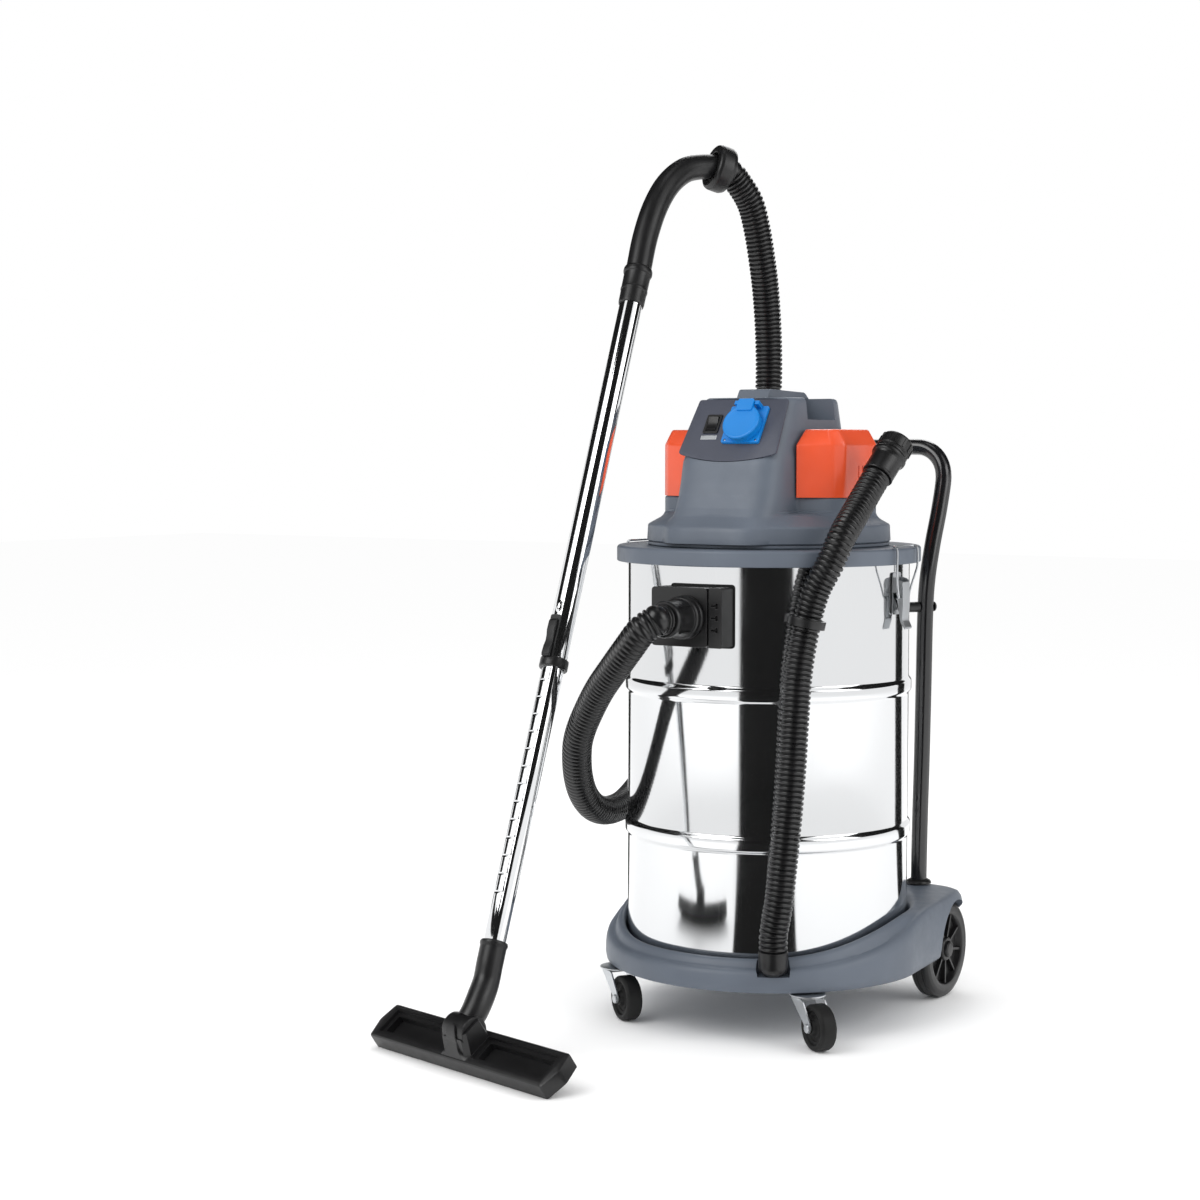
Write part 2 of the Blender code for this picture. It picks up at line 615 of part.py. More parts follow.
def make_head_shell():
    shell = node("head_cover", lofted([rounded(*section) for section in HEAD_SECTIONS]), SLATE)
    for side in (-1, 1):
        foot = [(side * (x if x > 0.1 else 0.07), y) for x, y in COVER_FOOT]
        boolean(shell, extruded(foot if side > 0 else foot[::-1], 0.7375, 0.7728), "UNION")
    wall = 0.003
    inner = []
    for half_x, front, rear, power, z in HEAD_SECTIONS[:-1]:
        low = z - 0.02 if z == HEAD_FLOOR else z - (wall if z > 0.74 else 0)
        inner.append(rounded(half_x - wall, front + wall, rear - wall, power, low))
    inner[-1] = rounded(0.073, -0.070, 0.090, 5.0, FINGER_FLOOR - 0.004)
    boolean(shell, lofted(inner))
    turn = panel_turn()
    recess = extruded(panel_outline(GAP), -PANEL_THICKNESS - GAP, 0.05)
    boolean(shell, recess, place=PANEL_CENTRE, turn=turn)
    boolean(shell, box((-0.10, -0.030, FINGER_FLOOR), (0.10, 0.058, 0.94)))
    socket_hole = cylinder(SOCKET_HOLE, -0.03, 0.01, 24)
    boolean(shell, socket_hole, place=PANEL_CENTRE + turn @ SOCKET_SPOT, turn=turn)
    boolean(shell, box(*SWITCH_HOLE), place=PANEL_CENTRE, turn=turn)


def make_head():
    node("head_ring", turned(((RING_RADIUS, RING_BOTTOM), (RING_RADIUS, RING_TOP - 0.002),
                              (RING_RADIUS - 0.002, RING_TOP), (0.165, RING_TOP), (0.165, 0.665),
                              (0.168, 0.665), (0.168, 0.693), (0.2235, 0.693), (0.2235, RING_BOTTOM)), 44),
         SLATE)
    node("motor_plate", pipe(0.1780, 0.030, RING_TOP + GAP, HEAD_FLOOR - GAP, 40), BLACK)
    make_head_shell()
    top = 0.931
    bridge = [(-0.052, HEAD_TOP + GAP), (-0.046, top), (0.066, top - 0.003), (0.078, HEAD_TOP + GAP)]
    node("carry_handle", extruded(bridge, -0.026, 0.026), SLATE, turn=SIDE_ON)
    for side, word in ((-1, "left"), (1, "right")):
        low = 0.7731
        levels = ((low, 1.0, 0.0), (0.848, 1.0, 0.0), (0.8715, 0.80, 0.028))
        sections = []
        for z, reach, back in levels:
            loop = []
            for x, y in COVER_FOOT:
                front_back = max(y, -0.083 + back) if y < 0 else y * (1 - 0.3 * (1 - reach))
                loop.append((side * (0.0895 + (x - 0.0895) * reach), front_back, z))
            sections.append(loop if side > 0 else loop[::-1])
        cover = node(f"side_cover_{word}", lofted(sections), ORANGE)
        pocket = sorted((side * 0.080, side * 0.136))
        boolean(cover, box((pocket[0], -0.050, 0.760), (pocket[1], 0.055, 0.846)))


def make_panel():
    turn = panel_turn()
    frame = empty("panel_frame", PANEL_CENTRE, ROOT, turn)
    panel = node("control_panel", extruded(panel_outline(), -PANEL_THICKNESS, 0.0), PANEL_GREY, frame)
    boolean(panel, box(*SWITCH_HOLE))
    boolean(panel, cylinder(SOCKET_HOLE, -0.02, 0.02, 24), place=SOCKET_SPOT)
    bezel = node("switch_bezel", box((-0.0510, -0.0150, GAP), (-0.0250, 0.0170, 0.0025)), BLACK, frame)
    boolean(bezel, box(*SWITCH_HOLE))
    rocker = ((-0.0100, -0.0060), (0.0100, -0.0060), (0.0108, 0.0052), (0.0, 0.0028), (-0.0108, 0.0040))
    node("switch_rocker", extruded(rocker, -0.0084, 0.0084), BLACK, frame, (-0.038, 0.001, 0), SIDE_ON)
    flange = box((-0.031, -0.028, GAP), (0.031, 0.0345, 0.0045), 0.0015)
    socket = node("socket_base", flange, BLUE, frame, SOCKET_SPOT)
    boolean(socket, cylinder(0.0225, -0.02, 0.02, 24))
    cup = ((0, -0.012), (0.0235, -0.012), (0.0235, 0.002), (0.0275, 0.002), (0.0275, 0.0125),
           (0.0215, 0.0125), (0.0215, -0.010), (0, -0.010))
    boolean(socket, turned(cup, 24), "UNION")
    for low in (-0.020, 0.0135):
        boolean(socket, box((low, 0.0300, 0.003), (low + 0.0065, 0.0360, 0.0170)), "UNION")
    hinge = empty("lid_hinge", SOCKET_SPOT + SOCKET_HINGE, frame)
    lid = node("socket_lid", cylinder(0.029, -0.0017, 0.0035, 32), BLUE, hinge, (0, -SOCKET_HINGE.y, 0))
    boolean(lid, box((-0.0128, 0.018, -0.0017), (0.0128, 0.0375, 0.0055), 0.001), "UNION")


def make_head_inside():
    motor = ((0, HEAD_FLOOR + GAP), (0.072, HEAD_FLOOR + GAP), (0.072, 0.765), (0.050, 0.772),
             (0.048, 0.835), (0.020, 0.850), (0, 0.850))
    node("motor_unit", turned(motor, 28), ZINC)
    top = RING_TOP
    node("filter_cartridge", turned(((0, 0.545), (0.092, 0.545), (0.094, top), (0.084, top),
                                     (0.082, 0.555), (0, 0.555)), 32), FILTER_WHITE)
    cage = node("float_cage", turned(((0, 0.590), (0.036, 0.590), (0.036, top), (0.032, top),
                                      (0.032, 0.593), (0, 0.593)), 24), BLACK)
    for angle in (0, 90):
        boolean(cage, box((-0.05, -0.010, 0.605), (0.05, 0.010, 0.665)),
                turn=Matrix.Rotation(radians(angle), 3, "Z"))
    ball = bmesh.new()
    bmesh.ops.create_icosphere(ball, subdivisions=2, radius=0.024)
    node("float_ball", ball, BLUE, place=(0, 0, 0.6180))


# ---------------------------------------------------------------- wand and floor tool
def make_wand():
    down = (WAND_END - WAND_TOP).normalized()
    length = (WAND_END - WAND_TOP).length
    frame = empty("wand_axis", WAND_TOP, ROOT, aim(down, FORWARD))
    ring = CUFF_RING_CENTRE
    swivel = turned(((0.0250, -0.015), (0.0345, -0.015), (0.0370, -0.011), (0.0370, 0.011),
                     (0.0345, 0.015), (0.0250, 0.015)), 32)
    node("swivel_cuff", swivel, BLACK, place=ring, turn=aim(CUFF_RING_AXIS))
    node("curved_grip", swept(smooth_route(GRIP_ROUTE, 0.018), 0.0195, 16), BLACK)
    adapter = ((0.0178, -0.059), (0.0215, -0.059), (0.0225, -0.052), (0.0205, -0.048), (0.0200, 0.0),
               (0.0195, 0.004), (0.0178, 0.004))
    node("wand_adapter", turned(adapter, 24), BLACK, frame)
    node("wand_outer_tube", pipe(*OUTER_TUBE, -0.030, 0.585, 24), CHROME, frame)
    collar = node("telescope_collar", pipe(0.0207, INNER_TUBE[0] + GAP, 0.5855, 0.600, 24), BLACK, frame)
    boolean(collar, box((OUTER_TUBE[0] + GAP, -0.0085, 0.522), (0.0205, 0.0085, 0.592)), "UNION")
    node("telescope_button", box((0.0208, -0.0065, 0.530), (0.0275, 0.0065, 0.588), 0.001), BLACK, frame)
    node("wand_inner_tube", pipe(*INNER_TUBE, 0.450, length, 24), CHROME, frame)
    return down


def tool_turn():
    yaw, pitch = radians(TOOL_YAW), radians(TOOL_PITCH)
    across = Vector((cos(yaw), sin(yaw), 0))
    back = Vector((-sin(yaw), cos(yaw), 0))
    uphill = back * cos(pitch) + Vector((0, 0, 1)) * sin(pitch)
    return Matrix((across, uphill, across.cross(uphill))).transposed()


def make_floor_tool(down):
    turn = tool_turn()
    frame = empty("tool_frame", TOOL_FRONT, ROOT, turn)
    half, deep, high = TOOL_HALF_WIDTH, TOOL_DEPTH, TOOL_HEIGHT
    foot = [(-half + 0.002, 0), (half - 0.002, 0), (half + 0.006, deep * 0.5),
            (half, deep), (-half, deep), (-half - 0.006, deep * 0.5)]
    body = node("floor_tool", extruded(foot, 0.0, high), BLACK, frame)
    hump = ((0.001, high - 0.004), (0.055, high - 0.004), (0.055, 0.050), (0.042, 0.056), (0.030, 0.053))
    boolean(body, extruded(hump, -0.029, 0.029), "UNION", turn=SIDE_ON)
    for side in (-1, 1):
        ends = sorted((side * 0.042, side * (half - 0.014)))
        boolean(body, box((ends[0], 0.012, 0.010), (ends[1], 0.050, 0.05)))
    knuckle, slot = TOOL_KNUCKLE, KNUCKLE_RADIUS + 0.0005
    boolean(body, extruded(arc((knuckle.y, knuckle.z), slot, 0, 342, 19), -slot, slot), turn=SIDE_ON)
    boolean(body, box((-slot, 0.0176, knuckle.z), (slot, 0.10, 0.10)))
    boolean(body, box((-half + 0.03, 0.020, -0.01), (half - 0.03, 0.034, 0.006)))
    frame_strip = box((-half + 0.010, 0.006, -0.0033), (half - 0.010, 0.056, -GAP))
    strip = node("floor_tool_sole", frame_strip, RUBBER, frame)
    boolean(strip, box((-half + 0.018, 0.010, -0.01), (half - 0.018, 0.052, 0.01)))
    hub = TOOL_FRONT + turn @ knuckle
    start = WAND_END + down * GAP
    bend = hub + Vector((0.004, 0.022, 0.026))
    bent = (start, start + down * 0.030, start + down * 0.060, bend, hub.lerp(bend, 0.45))
    neck = node("tool_neck", swept(smooth_route(bent, 0.011), 0.0188, 16), BLACK)
    barrel = cylinder(KNUCKLE_RADIUS, -slot + 0.0007, slot - 0.0007, 20)
    boolean(neck, barrel, "UNION", place=hub, turn=aim(turn.col[0]))


make_running_gear()
make_push_handle()
make_tank()
make_inlet()
hose("suction_hose", SUCTION_ROUTE, SUCTION_RADIUS)
make_drain()
for latch_side, latch_word in ((-1, "left"), (1, "right")):
    make_latch(latch_side, latch_word)
make_head()
make_panel()
make_head_inside()
make_floor_tool(make_wand())
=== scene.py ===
"""Looks of the shop vacuum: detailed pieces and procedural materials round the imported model.

Everything is drawn about the tank's axis at floor level, in metres, and then moved to where
the frame has the tank.
"""
from math import cos, hypot, pi, radians, sin, tan

import bmesh
import bpy
from mathutils import Matrix, Vector


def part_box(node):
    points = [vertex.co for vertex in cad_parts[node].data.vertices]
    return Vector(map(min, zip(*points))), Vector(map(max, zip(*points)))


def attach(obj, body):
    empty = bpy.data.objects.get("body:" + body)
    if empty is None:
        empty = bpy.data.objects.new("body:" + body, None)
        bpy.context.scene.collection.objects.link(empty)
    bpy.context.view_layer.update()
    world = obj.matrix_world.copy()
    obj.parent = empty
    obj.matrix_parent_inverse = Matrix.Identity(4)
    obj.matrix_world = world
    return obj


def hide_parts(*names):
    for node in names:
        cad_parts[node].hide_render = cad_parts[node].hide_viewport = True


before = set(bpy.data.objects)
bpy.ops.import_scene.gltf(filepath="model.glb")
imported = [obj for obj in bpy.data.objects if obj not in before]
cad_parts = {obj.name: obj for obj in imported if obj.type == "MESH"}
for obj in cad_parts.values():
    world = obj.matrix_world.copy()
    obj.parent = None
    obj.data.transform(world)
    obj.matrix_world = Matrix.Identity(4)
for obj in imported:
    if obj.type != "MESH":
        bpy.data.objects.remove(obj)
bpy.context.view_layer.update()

TANK_LOW, TANK_HIGH = (Vector(corner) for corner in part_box("tank"))
AXIS = Vector(((TANK_LOW.x + TANK_HIGH.x) / 2, (TANK_LOW.y + TANK_HIGH.y) / 2, 0.0))
BODY = "main_body"
FORWARD = Vector((0, -1, 0))

# ---------------------------------------------------------------- driving dimensions
TANK_RADIUS = 0.21
TANK_BOTTOM = 0.0965
BEAD_HEIGHT = 0.004
BEADS = ((0.267, 0.295), (0.481, 0.508))
TANK_WALL = 0.0015
INLET_Z = 0.606
DRAIN_PORT_Z = 0.118
BASE_RADIUS = 0.243
BASE_REAR_Y = 0.27
BASE_REAR_HALF = 0.214
BASE_BOTTOM = 0.0745
LIP_FRONT_Z = 0.121
LIP_REAR_Z = 0.163
POCKET_RADIUS = 0.2125
CASTER_X = 0.16
CASTER_Y = -0.168
CASTER_TRAIL = 0.033
CASTER_YAW = -33.0
CASTER_RADIUS = 0.033
REAR_WHEEL_X = 0.188
REAR_WHEEL_Y = 0.207
REAR_WHEEL_RADIUS = 0.074
REAR_WHEEL_HALF = 0.016
RING_RADIUS = 0.2265
RING_BOTTOM = 0.677
RING_TOP = 0.7005
HEAD_FLOOR = 0.707
HEAD_TOP = 0.918
FINGER_FLOOR = 0.886
PANEL_CENTRE = Vector((0.0, -0.1, 0.878))
PANEL_TILT = 33.0
SOCKET_SPOT = Vector((0.018, -0.005, 0.0))
SWITCH_HOLE = ((-0.0468, -0.0108, -0.03), (-0.0292, 0.0128, 0.03))
SUCTION_RADIUS = 0.022
DRAIN_RADIUS = 0.0205
WAND_TOP = Vector((-0.223, -0.032, 1.065))
WAND_END = Vector((-0.168, -0.47, 0.164))
WAND_LENGTH = (WAND_END - WAND_TOP).length
TOOL_FRONT = Vector((-0.1692, -0.5519, 0.0))
TOOL_YAW = -13.9
TOOL_PITCH = 35.0
TOOL_HALF = 0.184
TOOL_DEPTH = 0.062
TOOL_HEIGHT = 0.024
TOOL_KNUCKLE = Vector((0, 0.04, 0.04))
HANDLE_X = 0.135
HANDLE_Y = 0.247
HANDLE_TOP_X = 0.15
HANDLE_TOP_Z = 0.846
HANDLE_TUBE = 0.0125
SPACER_SPOT = Vector((0.1412, 0.2495, 0))
SPACER_Z = 0.598
LATCH_PIVOT = Vector((0.2235, 0.0, 0.647))
BAIL_OFFSET = 0.018
SIDES = ((-1, "left"), (1, "right"))

SUCTION_ROUTE = (
    (0.0, -0.3003, 0.606), (0.0, -0.32, 0.606), (-0.016, -0.331, 0.592),
    (-0.038, -0.328, 0.568), (-0.07, -0.314, 0.538), (-0.111, -0.292, 0.501),
    (-0.147, -0.27, 0.461), (-0.17, -0.254, 0.431), (-0.185, -0.239, 0.405),
    (-0.202, -0.212, 0.367), (-0.214, -0.182, 0.334), (-0.221, -0.15, 0.31),
    (-0.227, -0.115, 0.296), (-0.233, -0.072, 0.29), (-0.239, -0.022, 0.295),
    (-0.246, 0.04, 0.32), (-0.249, 0.1, 0.365), (-0.246, 0.158, 0.43),
    (-0.236, 0.21, 0.505), (-0.222, 0.252, 0.59), (-0.206, 0.284, 0.68),
    (-0.192, 0.304, 0.77), (-0.181, 0.314, 0.86), (-0.175, 0.314, 0.945),
    (-0.17, 0.304, 1.02), (-0.165, 0.286, 1.091), (-0.161, 0.266, 1.143),
    (-0.161, 0.246, 1.2), (-0.1645, 0.227, 1.241), (-0.1785, 0.1969, 1.2808),
    (-0.1899, 0.1815, 1.2864),
)
DRAIN_ROUTE = (
    (0.1208, -0.1983, 0.1353), (0.1208, -0.1983, 0.158), (0.129, -0.1971, 0.205),
    (0.1341, -0.194, 0.263), (0.1391, -0.1899, 0.331), (0.1432, -0.1869, 0.4),
    (0.1462, -0.1848, 0.468), (0.1505, -0.182, 0.537), (0.159, -0.1748, 0.601),
    (0.1715, -0.1715, 0.646), (0.189, -0.166, 0.682), (0.201, -0.15, 0.7225),
    (0.2015, -0.111, 0.754), (0.2055, -0.0745, 0.789), (0.2088, -0.0596, 0.8048),
)
DRAIN_SPOT = Vector((0.1208, -0.1983, 0.0))
CLIP_INDEX = 8
CUFF_AXIS = Vector((0.152, 0.679, 0.718)).normalized()
GRIP_ROUTE = (
    (-0.2263, -0.0058, 1.119), (-0.2285, 0.016, 1.168), (-0.2275, 0.042, 1.215),
    (-0.2245, 0.075, 1.2535), (-0.218, 0.113, 1.279), (-0.2065, 0.146, 1.288),
    (-0.1957, 0.1736, 1.2893),
)
CUFF_RING_CENTRE = Vector((-0.191, 0.18, 1.287))
CUFF_RING_AXIS = Vector((0.57, 0.77, -0.28)).normalized()


# ---------------------------------------------------------------- materials
# sockets of a Mix node set to colours
MIX_FACTOR, MIX_COLOUR_ONE, MIX_COLOUR_TWO, MIX_COLOUR_OUT = 0, 6, 7, 2
# features per metre: colour clouds, uneven gloss, and the slow waves that moulding leaves
CLOUDS, GLOSS, WAVES = 14.0, 60.0, 30.0


def shader_of(name, colour, roughness, metallic):
    """A material for one of the record's slots, with its node tree and its Principled shader."""
    made = bpy.data.materials.new(f"{name}_look")
    made["slot"] = name
    made.use_nodes = True
    tree = made.node_tree
    shader = tree.nodes["Principled BSDF"]
    shader.inputs["Base Color"].default_value = (*colour, 1.0)
    shader.inputs["Roughness"].default_value = roughness
    shader.inputs["Metallic"].default_value = metallic
    return made, tree, shader


def object_space(tree, scale=(1.0, 1.0, 1.0)):
    place = tree.nodes.new("ShaderNodeTexCoord")
    mapping = tree.nodes.new("ShaderNodeMapping")
    mapping.inputs["Scale"].default_value = scale
    tree.links.new(place.outputs["Object"], mapping.inputs["Vector"])
    return mapping.outputs["Vector"]


def noise(tree, vector, scale, detail=3.0, rough=0.5):
    made = tree.nodes.new("ShaderNodeTexNoise")
    made.inputs["Scale"].default_value = scale
    made.inputs["Detail"].default_value = detail
    made.inputs["Roughness"].default_value = rough
    tree.links.new(vector, made.inputs["Vector"])
    return made.outputs["Fac"]


def ranged(tree, value, low, high, start=0.3, end=0.7):
    made = tree.nodes.new("ShaderNodeMapRange")
    made.inputs["From Min"].default_value = start
    made.inputs["From Max"].default_value = end
    made.inputs["To Min"].default_value = low
    made.inputs["To Max"].default_value = high
    tree.links.new(value, made.inputs["Value"])
    return made.outputs["Result"]


def bumped(tree, shader, height, strength, distance):
    made = tree.nodes.new("ShaderNodeBump")
    made.inputs["Strength"].default_value = strength
    made.inputs["Distance"].default_value = distance
    tree.links.new(height, made.inputs["Height"])
    previous = shader.inputs["Normal"].links
    if previous:
        tree.links.new(previous[0].from_socket, made.inputs["Normal"])
    tree.links.new(made.outputs["Normal"], shader.inputs["Normal"])


def tinted(tree, shader, value, one, two):
    """Base colour that drifts between two close tones."""
    ramp = tree.nodes.new("ShaderNodeValToRGB")
    ramp.color_ramp.elements[0].position = 0.32
    ramp.color_ramp.elements[1].position = 0.68
    ramp.color_ramp.elements[0].color = (*one, 1.0)
    ramp.color_ramp.elements[1].color = (*two, 1.0)
    tree.links.new(value, ramp.inputs["Fac"])
    tree.links.new(ramp.outputs["Color"], shader.inputs["Base Color"])


def worn_edges(finish, strength=0.35, radius=0.0012):
    """Slightly rubbed, paler corners, found with a bevel lookup."""
    tree = finish.node_tree
    shader = tree.nodes["Principled BSDF"]
    tone = shader.inputs["Base Color"]
    bevel = tree.nodes.new("ShaderNodeBevel")
    bevel.inputs["Radius"].default_value = radius
    plain = tree.nodes.new("ShaderNodeNewGeometry")
    dot = tree.nodes.new("ShaderNodeVectorMath")
    dot.operation = "DOT_PRODUCT"
    tree.links.new(bevel.outputs["Normal"], dot.inputs[0])
    tree.links.new(plain.outputs["Normal"], dot.inputs[1])
    edge = ranged(tree, dot.outputs["Value"], 1.0, 0.0, 0.9, 0.995)
    scaled = tree.nodes.new("ShaderNodeMath")
    scaled.operation = "MULTIPLY"
    scaled.inputs[1].default_value = strength
    tree.links.new(edge, scaled.inputs[0])
    mix = tree.nodes.new("ShaderNodeMix")
    mix.data_type = "RGBA"
    tree.links.new(scaled.outputs["Value"], mix.inputs[MIX_FACTOR])
    tree.links.new(tone.links[0].from_socket, mix.inputs[MIX_COLOUR_ONE])
    paler = [min(1.0, value * 1.5 + 0.02) for value in tone.default_value[:3]]
    mix.inputs[MIX_COLOUR_TWO].default_value = (*paler, 1.0)
    tree.links.new(mix.outputs[MIX_COLOUR_OUT], tone)


def plastic(name, colour, roughness, grain=0.12, grain_scale=2600.0, spread=0.06, coat=0.0):
    """Moulded plastic: spark-eroded grain, faint flow clouds and uneven gloss."""
    made, tree, shader = shader_of(name, colour, roughness, 0.0)
    spot = object_space(tree)
    cloud = noise(tree, spot, CLOUDS, 2.0)
    one = [value * (1.0 - spread) for value in colour]
    two = [min(1.0, value * (1.0 + spread)) for value in colour]
    tinted(tree, shader, cloud, one, two)
    gloss = noise(tree, spot, GLOSS, 4.0)
    tree.links.new(ranged(tree, gloss, roughness - 0.04, roughness + 0.05), shader.inputs["Roughness"])
    bumped(tree, shader, noise(tree, spot, grain_scale, 1.0), grain, 0.0002)
    bumped(tree, shader, noise(tree, spot, WAVES, 2.0), 0.06, 0.0008)
    if coat:
        shader.inputs["Coat Weight"].default_value = coat
        shader.inputs["Coat Roughness"].default_value = 0.12
    return made


def metal(name, colour, roughness, stretch=(1.0, 1.0, 1.0), streak=0.03, scale=240.0, dent=0.0):
    """Bare or plated metal: directional marks, cloudy gloss and a faint waviness."""
    made, tree, shader = shader_of(name, colour, roughness, 1.0)
    lines = noise(tree, object_space(tree, stretch), scale, 3.0)
    smudge = noise(tree, object_space(tree), 9.0, 4.0)
    added = tree.nodes.new("ShaderNodeMath")
    added.operation = "ADD"
    tree.links.new(ranged(tree, lines, roughness, roughness + streak), added.inputs[0])
    tree.links.new(ranged(tree, smudge, 0.0, 0.035), added.inputs[1])
    tree.links.new(added.outputs["Value"], shader.inputs["Roughness"])
    if dent:
        bumped(tree, shader, noise(tree, object_space(tree, (1.0, 1.0, 0.5)), 7.0, 1.0), dent, 0.004)
    return made


def felt():
    made, tree, shader = shader_of("filter_fabric", (0.75, 0.73, 0.68), 0.95, 0.0)
    spot = object_space(tree)
    tinted(tree, shader, noise(tree, spot, 90.0, 5.0), (0.66, 0.64, 0.58), (0.8, 0.78, 0.73))
    bumped(tree, shader, noise(tree, spot, 900.0, 4.0), 0.5, 0.0006)
    shader.inputs["Sheen Weight"].default_value = 0.3
    return made


SLATE_TONE = (0.108, 0.128, 0.16)
STEEL = metal("polished_steel", (0.78, 0.79, 0.8), 0.055, (1.0, 1.0, 0.02), 0.035, 500.0, 0.04)
ZINC = metal("zinc_plate", (0.6, 0.62, 0.64), 0.28, (1.0, 1.0, 1.0), 0.14, 160.0)
CHROME = metal("chrome", (0.86, 0.87, 0.88), 0.03, (1.0, 1.0, 0.03), 0.03, 700.0)
SLATE = plastic("slate_plastic", SLATE_TONE, 0.44, 0.2, 2200.0, 0.05)
PANEL = plastic("panel_plastic", (0.062, 0.068, 0.092), 0.5, 0.25, 2600.0, 0.05)
ORANGE = plastic("orange_plastic", (0.76, 0.082, 0.022), 0.33, 0.08, 2400.0, 0.05, 0.25)
BLUE = plastic("blue_plastic", (0.0, 0.185, 0.56), 0.4, 0.06, 2400.0, 0.05)
BLACK = plastic("black_plastic", (0.0085, 0.0085, 0.009), 0.34, 0.14, 2200.0, 0.15)
HOSE = plastic("hose_plastic", (0.0055, 0.0055, 0.006), 0.3, 0.05, 1500.0, 0.2)
PAINT = plastic("black_paint", (0.008, 0.008, 0.009), 0.2, 0.02, 900.0, 0.1, 0.5)
RUBBER = plastic("rubber", (0.011, 0.011, 0.011), 0.6, 0.25, 1200.0, 0.2)
FELT = felt()
SPECULAR_LEVELS = ((BLACK, 0.5), (HOSE, 0.6), (PAINT, 0.5), (RUBBER, 0.3), (SLATE, 0.45), (PANEL, 0.4))
for coated, level in SPECULAR_LEVELS:
    coated.node_tree.nodes["Principled BSDF"].inputs["Specular IOR Level"].default_value = level
for moulded in (SLATE, PANEL, ORANGE, BLUE, BLACK):
    worn_edges(moulded)


# ---------------------------------------------------------------- shape makers
ON_AXIS = 1e-6
# a drawn outline laid along other axes: (y, z) drawn across x, (x, z) across y, (z, x) across y
SIDE_ON = Matrix(((0, 0, 1), (1, 0, 0), (0, 1, 0)))
FACE_ON = Matrix(((1, 0, 0), (0, 0, 1), (0, 1, 0)))
LENGTH_ON = Matrix(((0, 1, 0), (0, 0, 1), (1, 0, 0)))


def turned(profile, segments=48):
    """Revolve (radius, height) points about Z; a profile off the axis makes a ring."""
    mesh = bmesh.new()
    rings = []
    for radius, height in profile:
        count = segments if radius > ON_AXIS else 1
        angles = [2 * pi * k / segments for k in range(count)]
        rings.append([mesh.verts.new((radius * cos(a), radius * sin(a), height)) for a in angles])
    pairs = list(zip(rings, rings[1:]))
    if len(rings[0]) > 1:
        pairs.append((rings[-1], rings[0]))
    for one, two in pairs:
        for k in range(segments):
            j = (k + 1) % segments
            corners = (one[k % len(one)], one[j % len(one)], two[j % len(two)], two[k % len(two)])
            corners = list(dict.fromkeys(corners))
            if len(corners) > 2:
                mesh.faces.new(corners)
    return mesh


def cylinder(radius, low, high, segments=32):
    return turned(((0, low), (radius, low), (radius, high), (0, high)), segments)


def rounded(outline, radius, steps, limit, keep_axis):
    """A closed outline with a curve at each corner, up to a share of the shorter side there."""
    points = [Vector(point) for point in outline]
    out = []
    for k, point in enumerate(points):
        if keep_axis and point.x < ON_AXIS:
            out.append(tuple(point))
            continue
        one, two = points[k - 1] - point, points[(k + 1) % len(points)] - point
        reach = min(radius, one.length * limit, two.length * limit)
        start, end = point + one.normalized() * reach, point + two.normalized() * reach
        for step in range(steps + 1):
            t = step / steps
            out.append(tuple((1 - t) ** 2 * start + 2 * t * (1 - t) * point + t ** 2 * end))
    return out


def softened(profile, radius=0.0006, steps=2):
    """A (radius, height) profile with rounded corners, its points on the axis left alone."""
    return rounded(profile, radius, steps, 0.4, True)


def round_corners(outline, radius, steps=5):
    """A flat outline with each corner rounded."""
    return rounded(outline, radius, steps, 0.45, False)


def both_halves(half):
    """A (radius, height) profile and its mirror image below the middle."""
    return half + [(radius, -height) for radius, height in reversed(half)]


def eased(t):
    """Smooth step from 0 to 1."""
    t = min(1.0, max(0.0, t))
    return t * t * (3 - 2 * t)


def box(low, high):
    mesh = bmesh.new()
    bmesh.ops.create_cube(mesh, size=1.0)
    for vert in mesh.verts:
        for axis in range(3):
            vert.co[axis] = high[axis] if vert.co[axis] > 0 else low[axis]
    return mesh


def lofted(sections, closed=False):
    """Skin over equal sections, with an end cap at each end or the last one joined to the first."""
    mesh = bmesh.new()
    loops = [[mesh.verts.new(point) for point in section] for section in sections]
    count = len(loops[0])
    pairs = list(zip(loops, loops[1:]))
    if closed:
        pairs.append((loops[-1], loops[0]))
    for one, two in pairs:
        for k in range(count):
            j = (k + 1) % count
            mesh.faces.new((one[k], one[j], two[j], two[k]))
    if not closed:
        mesh.faces.new(loops[0][::-1])
        mesh.faces.new(loops[-1])
    return mesh


def extruded(outline, low, high):
    return lofted([[(x, y, z) for x, y in outline] for z in (low, high)])


def arc(centre, radius, start, end, steps):
    angles = [radians(start + (end - start) * k / steps) for k in range(steps + 1)]
    return [(centre[0] + radius * cos(a), centre[1] + radius * sin(a)) for a in angles]


def curve_points(route, ends=0, steps=40):
    """Fine points on the smooth curve through a route, straight along the given stretches at each end."""
    path = [Vector(point) for point in route[ends:len(route) - ends]]
    path = [2 * path[0] - path[1]] + path + [2 * path[-1] - path[-2]]
    fine = []
    for k in range(1, len(path) - 2):
        before, start, end, after = path[k - 1:k + 3]
        for step in range(steps):
            t = step / steps
            fine.append(0.5 * (2 * start + (end - before) * t
                               + (2 * before - 5 * start + 4 * end - after) * t ** 2
                               + (3 * start - before - 3 * end + after) * t ** 3))
    fine.append(path[-2])
    if ends:
        fine = [Vector(route[0])] + fine + [Vector(route[-1])]
    return fine


def length_of(points):
    return sum((b - a).length for a, b in zip(points, points[1:]))


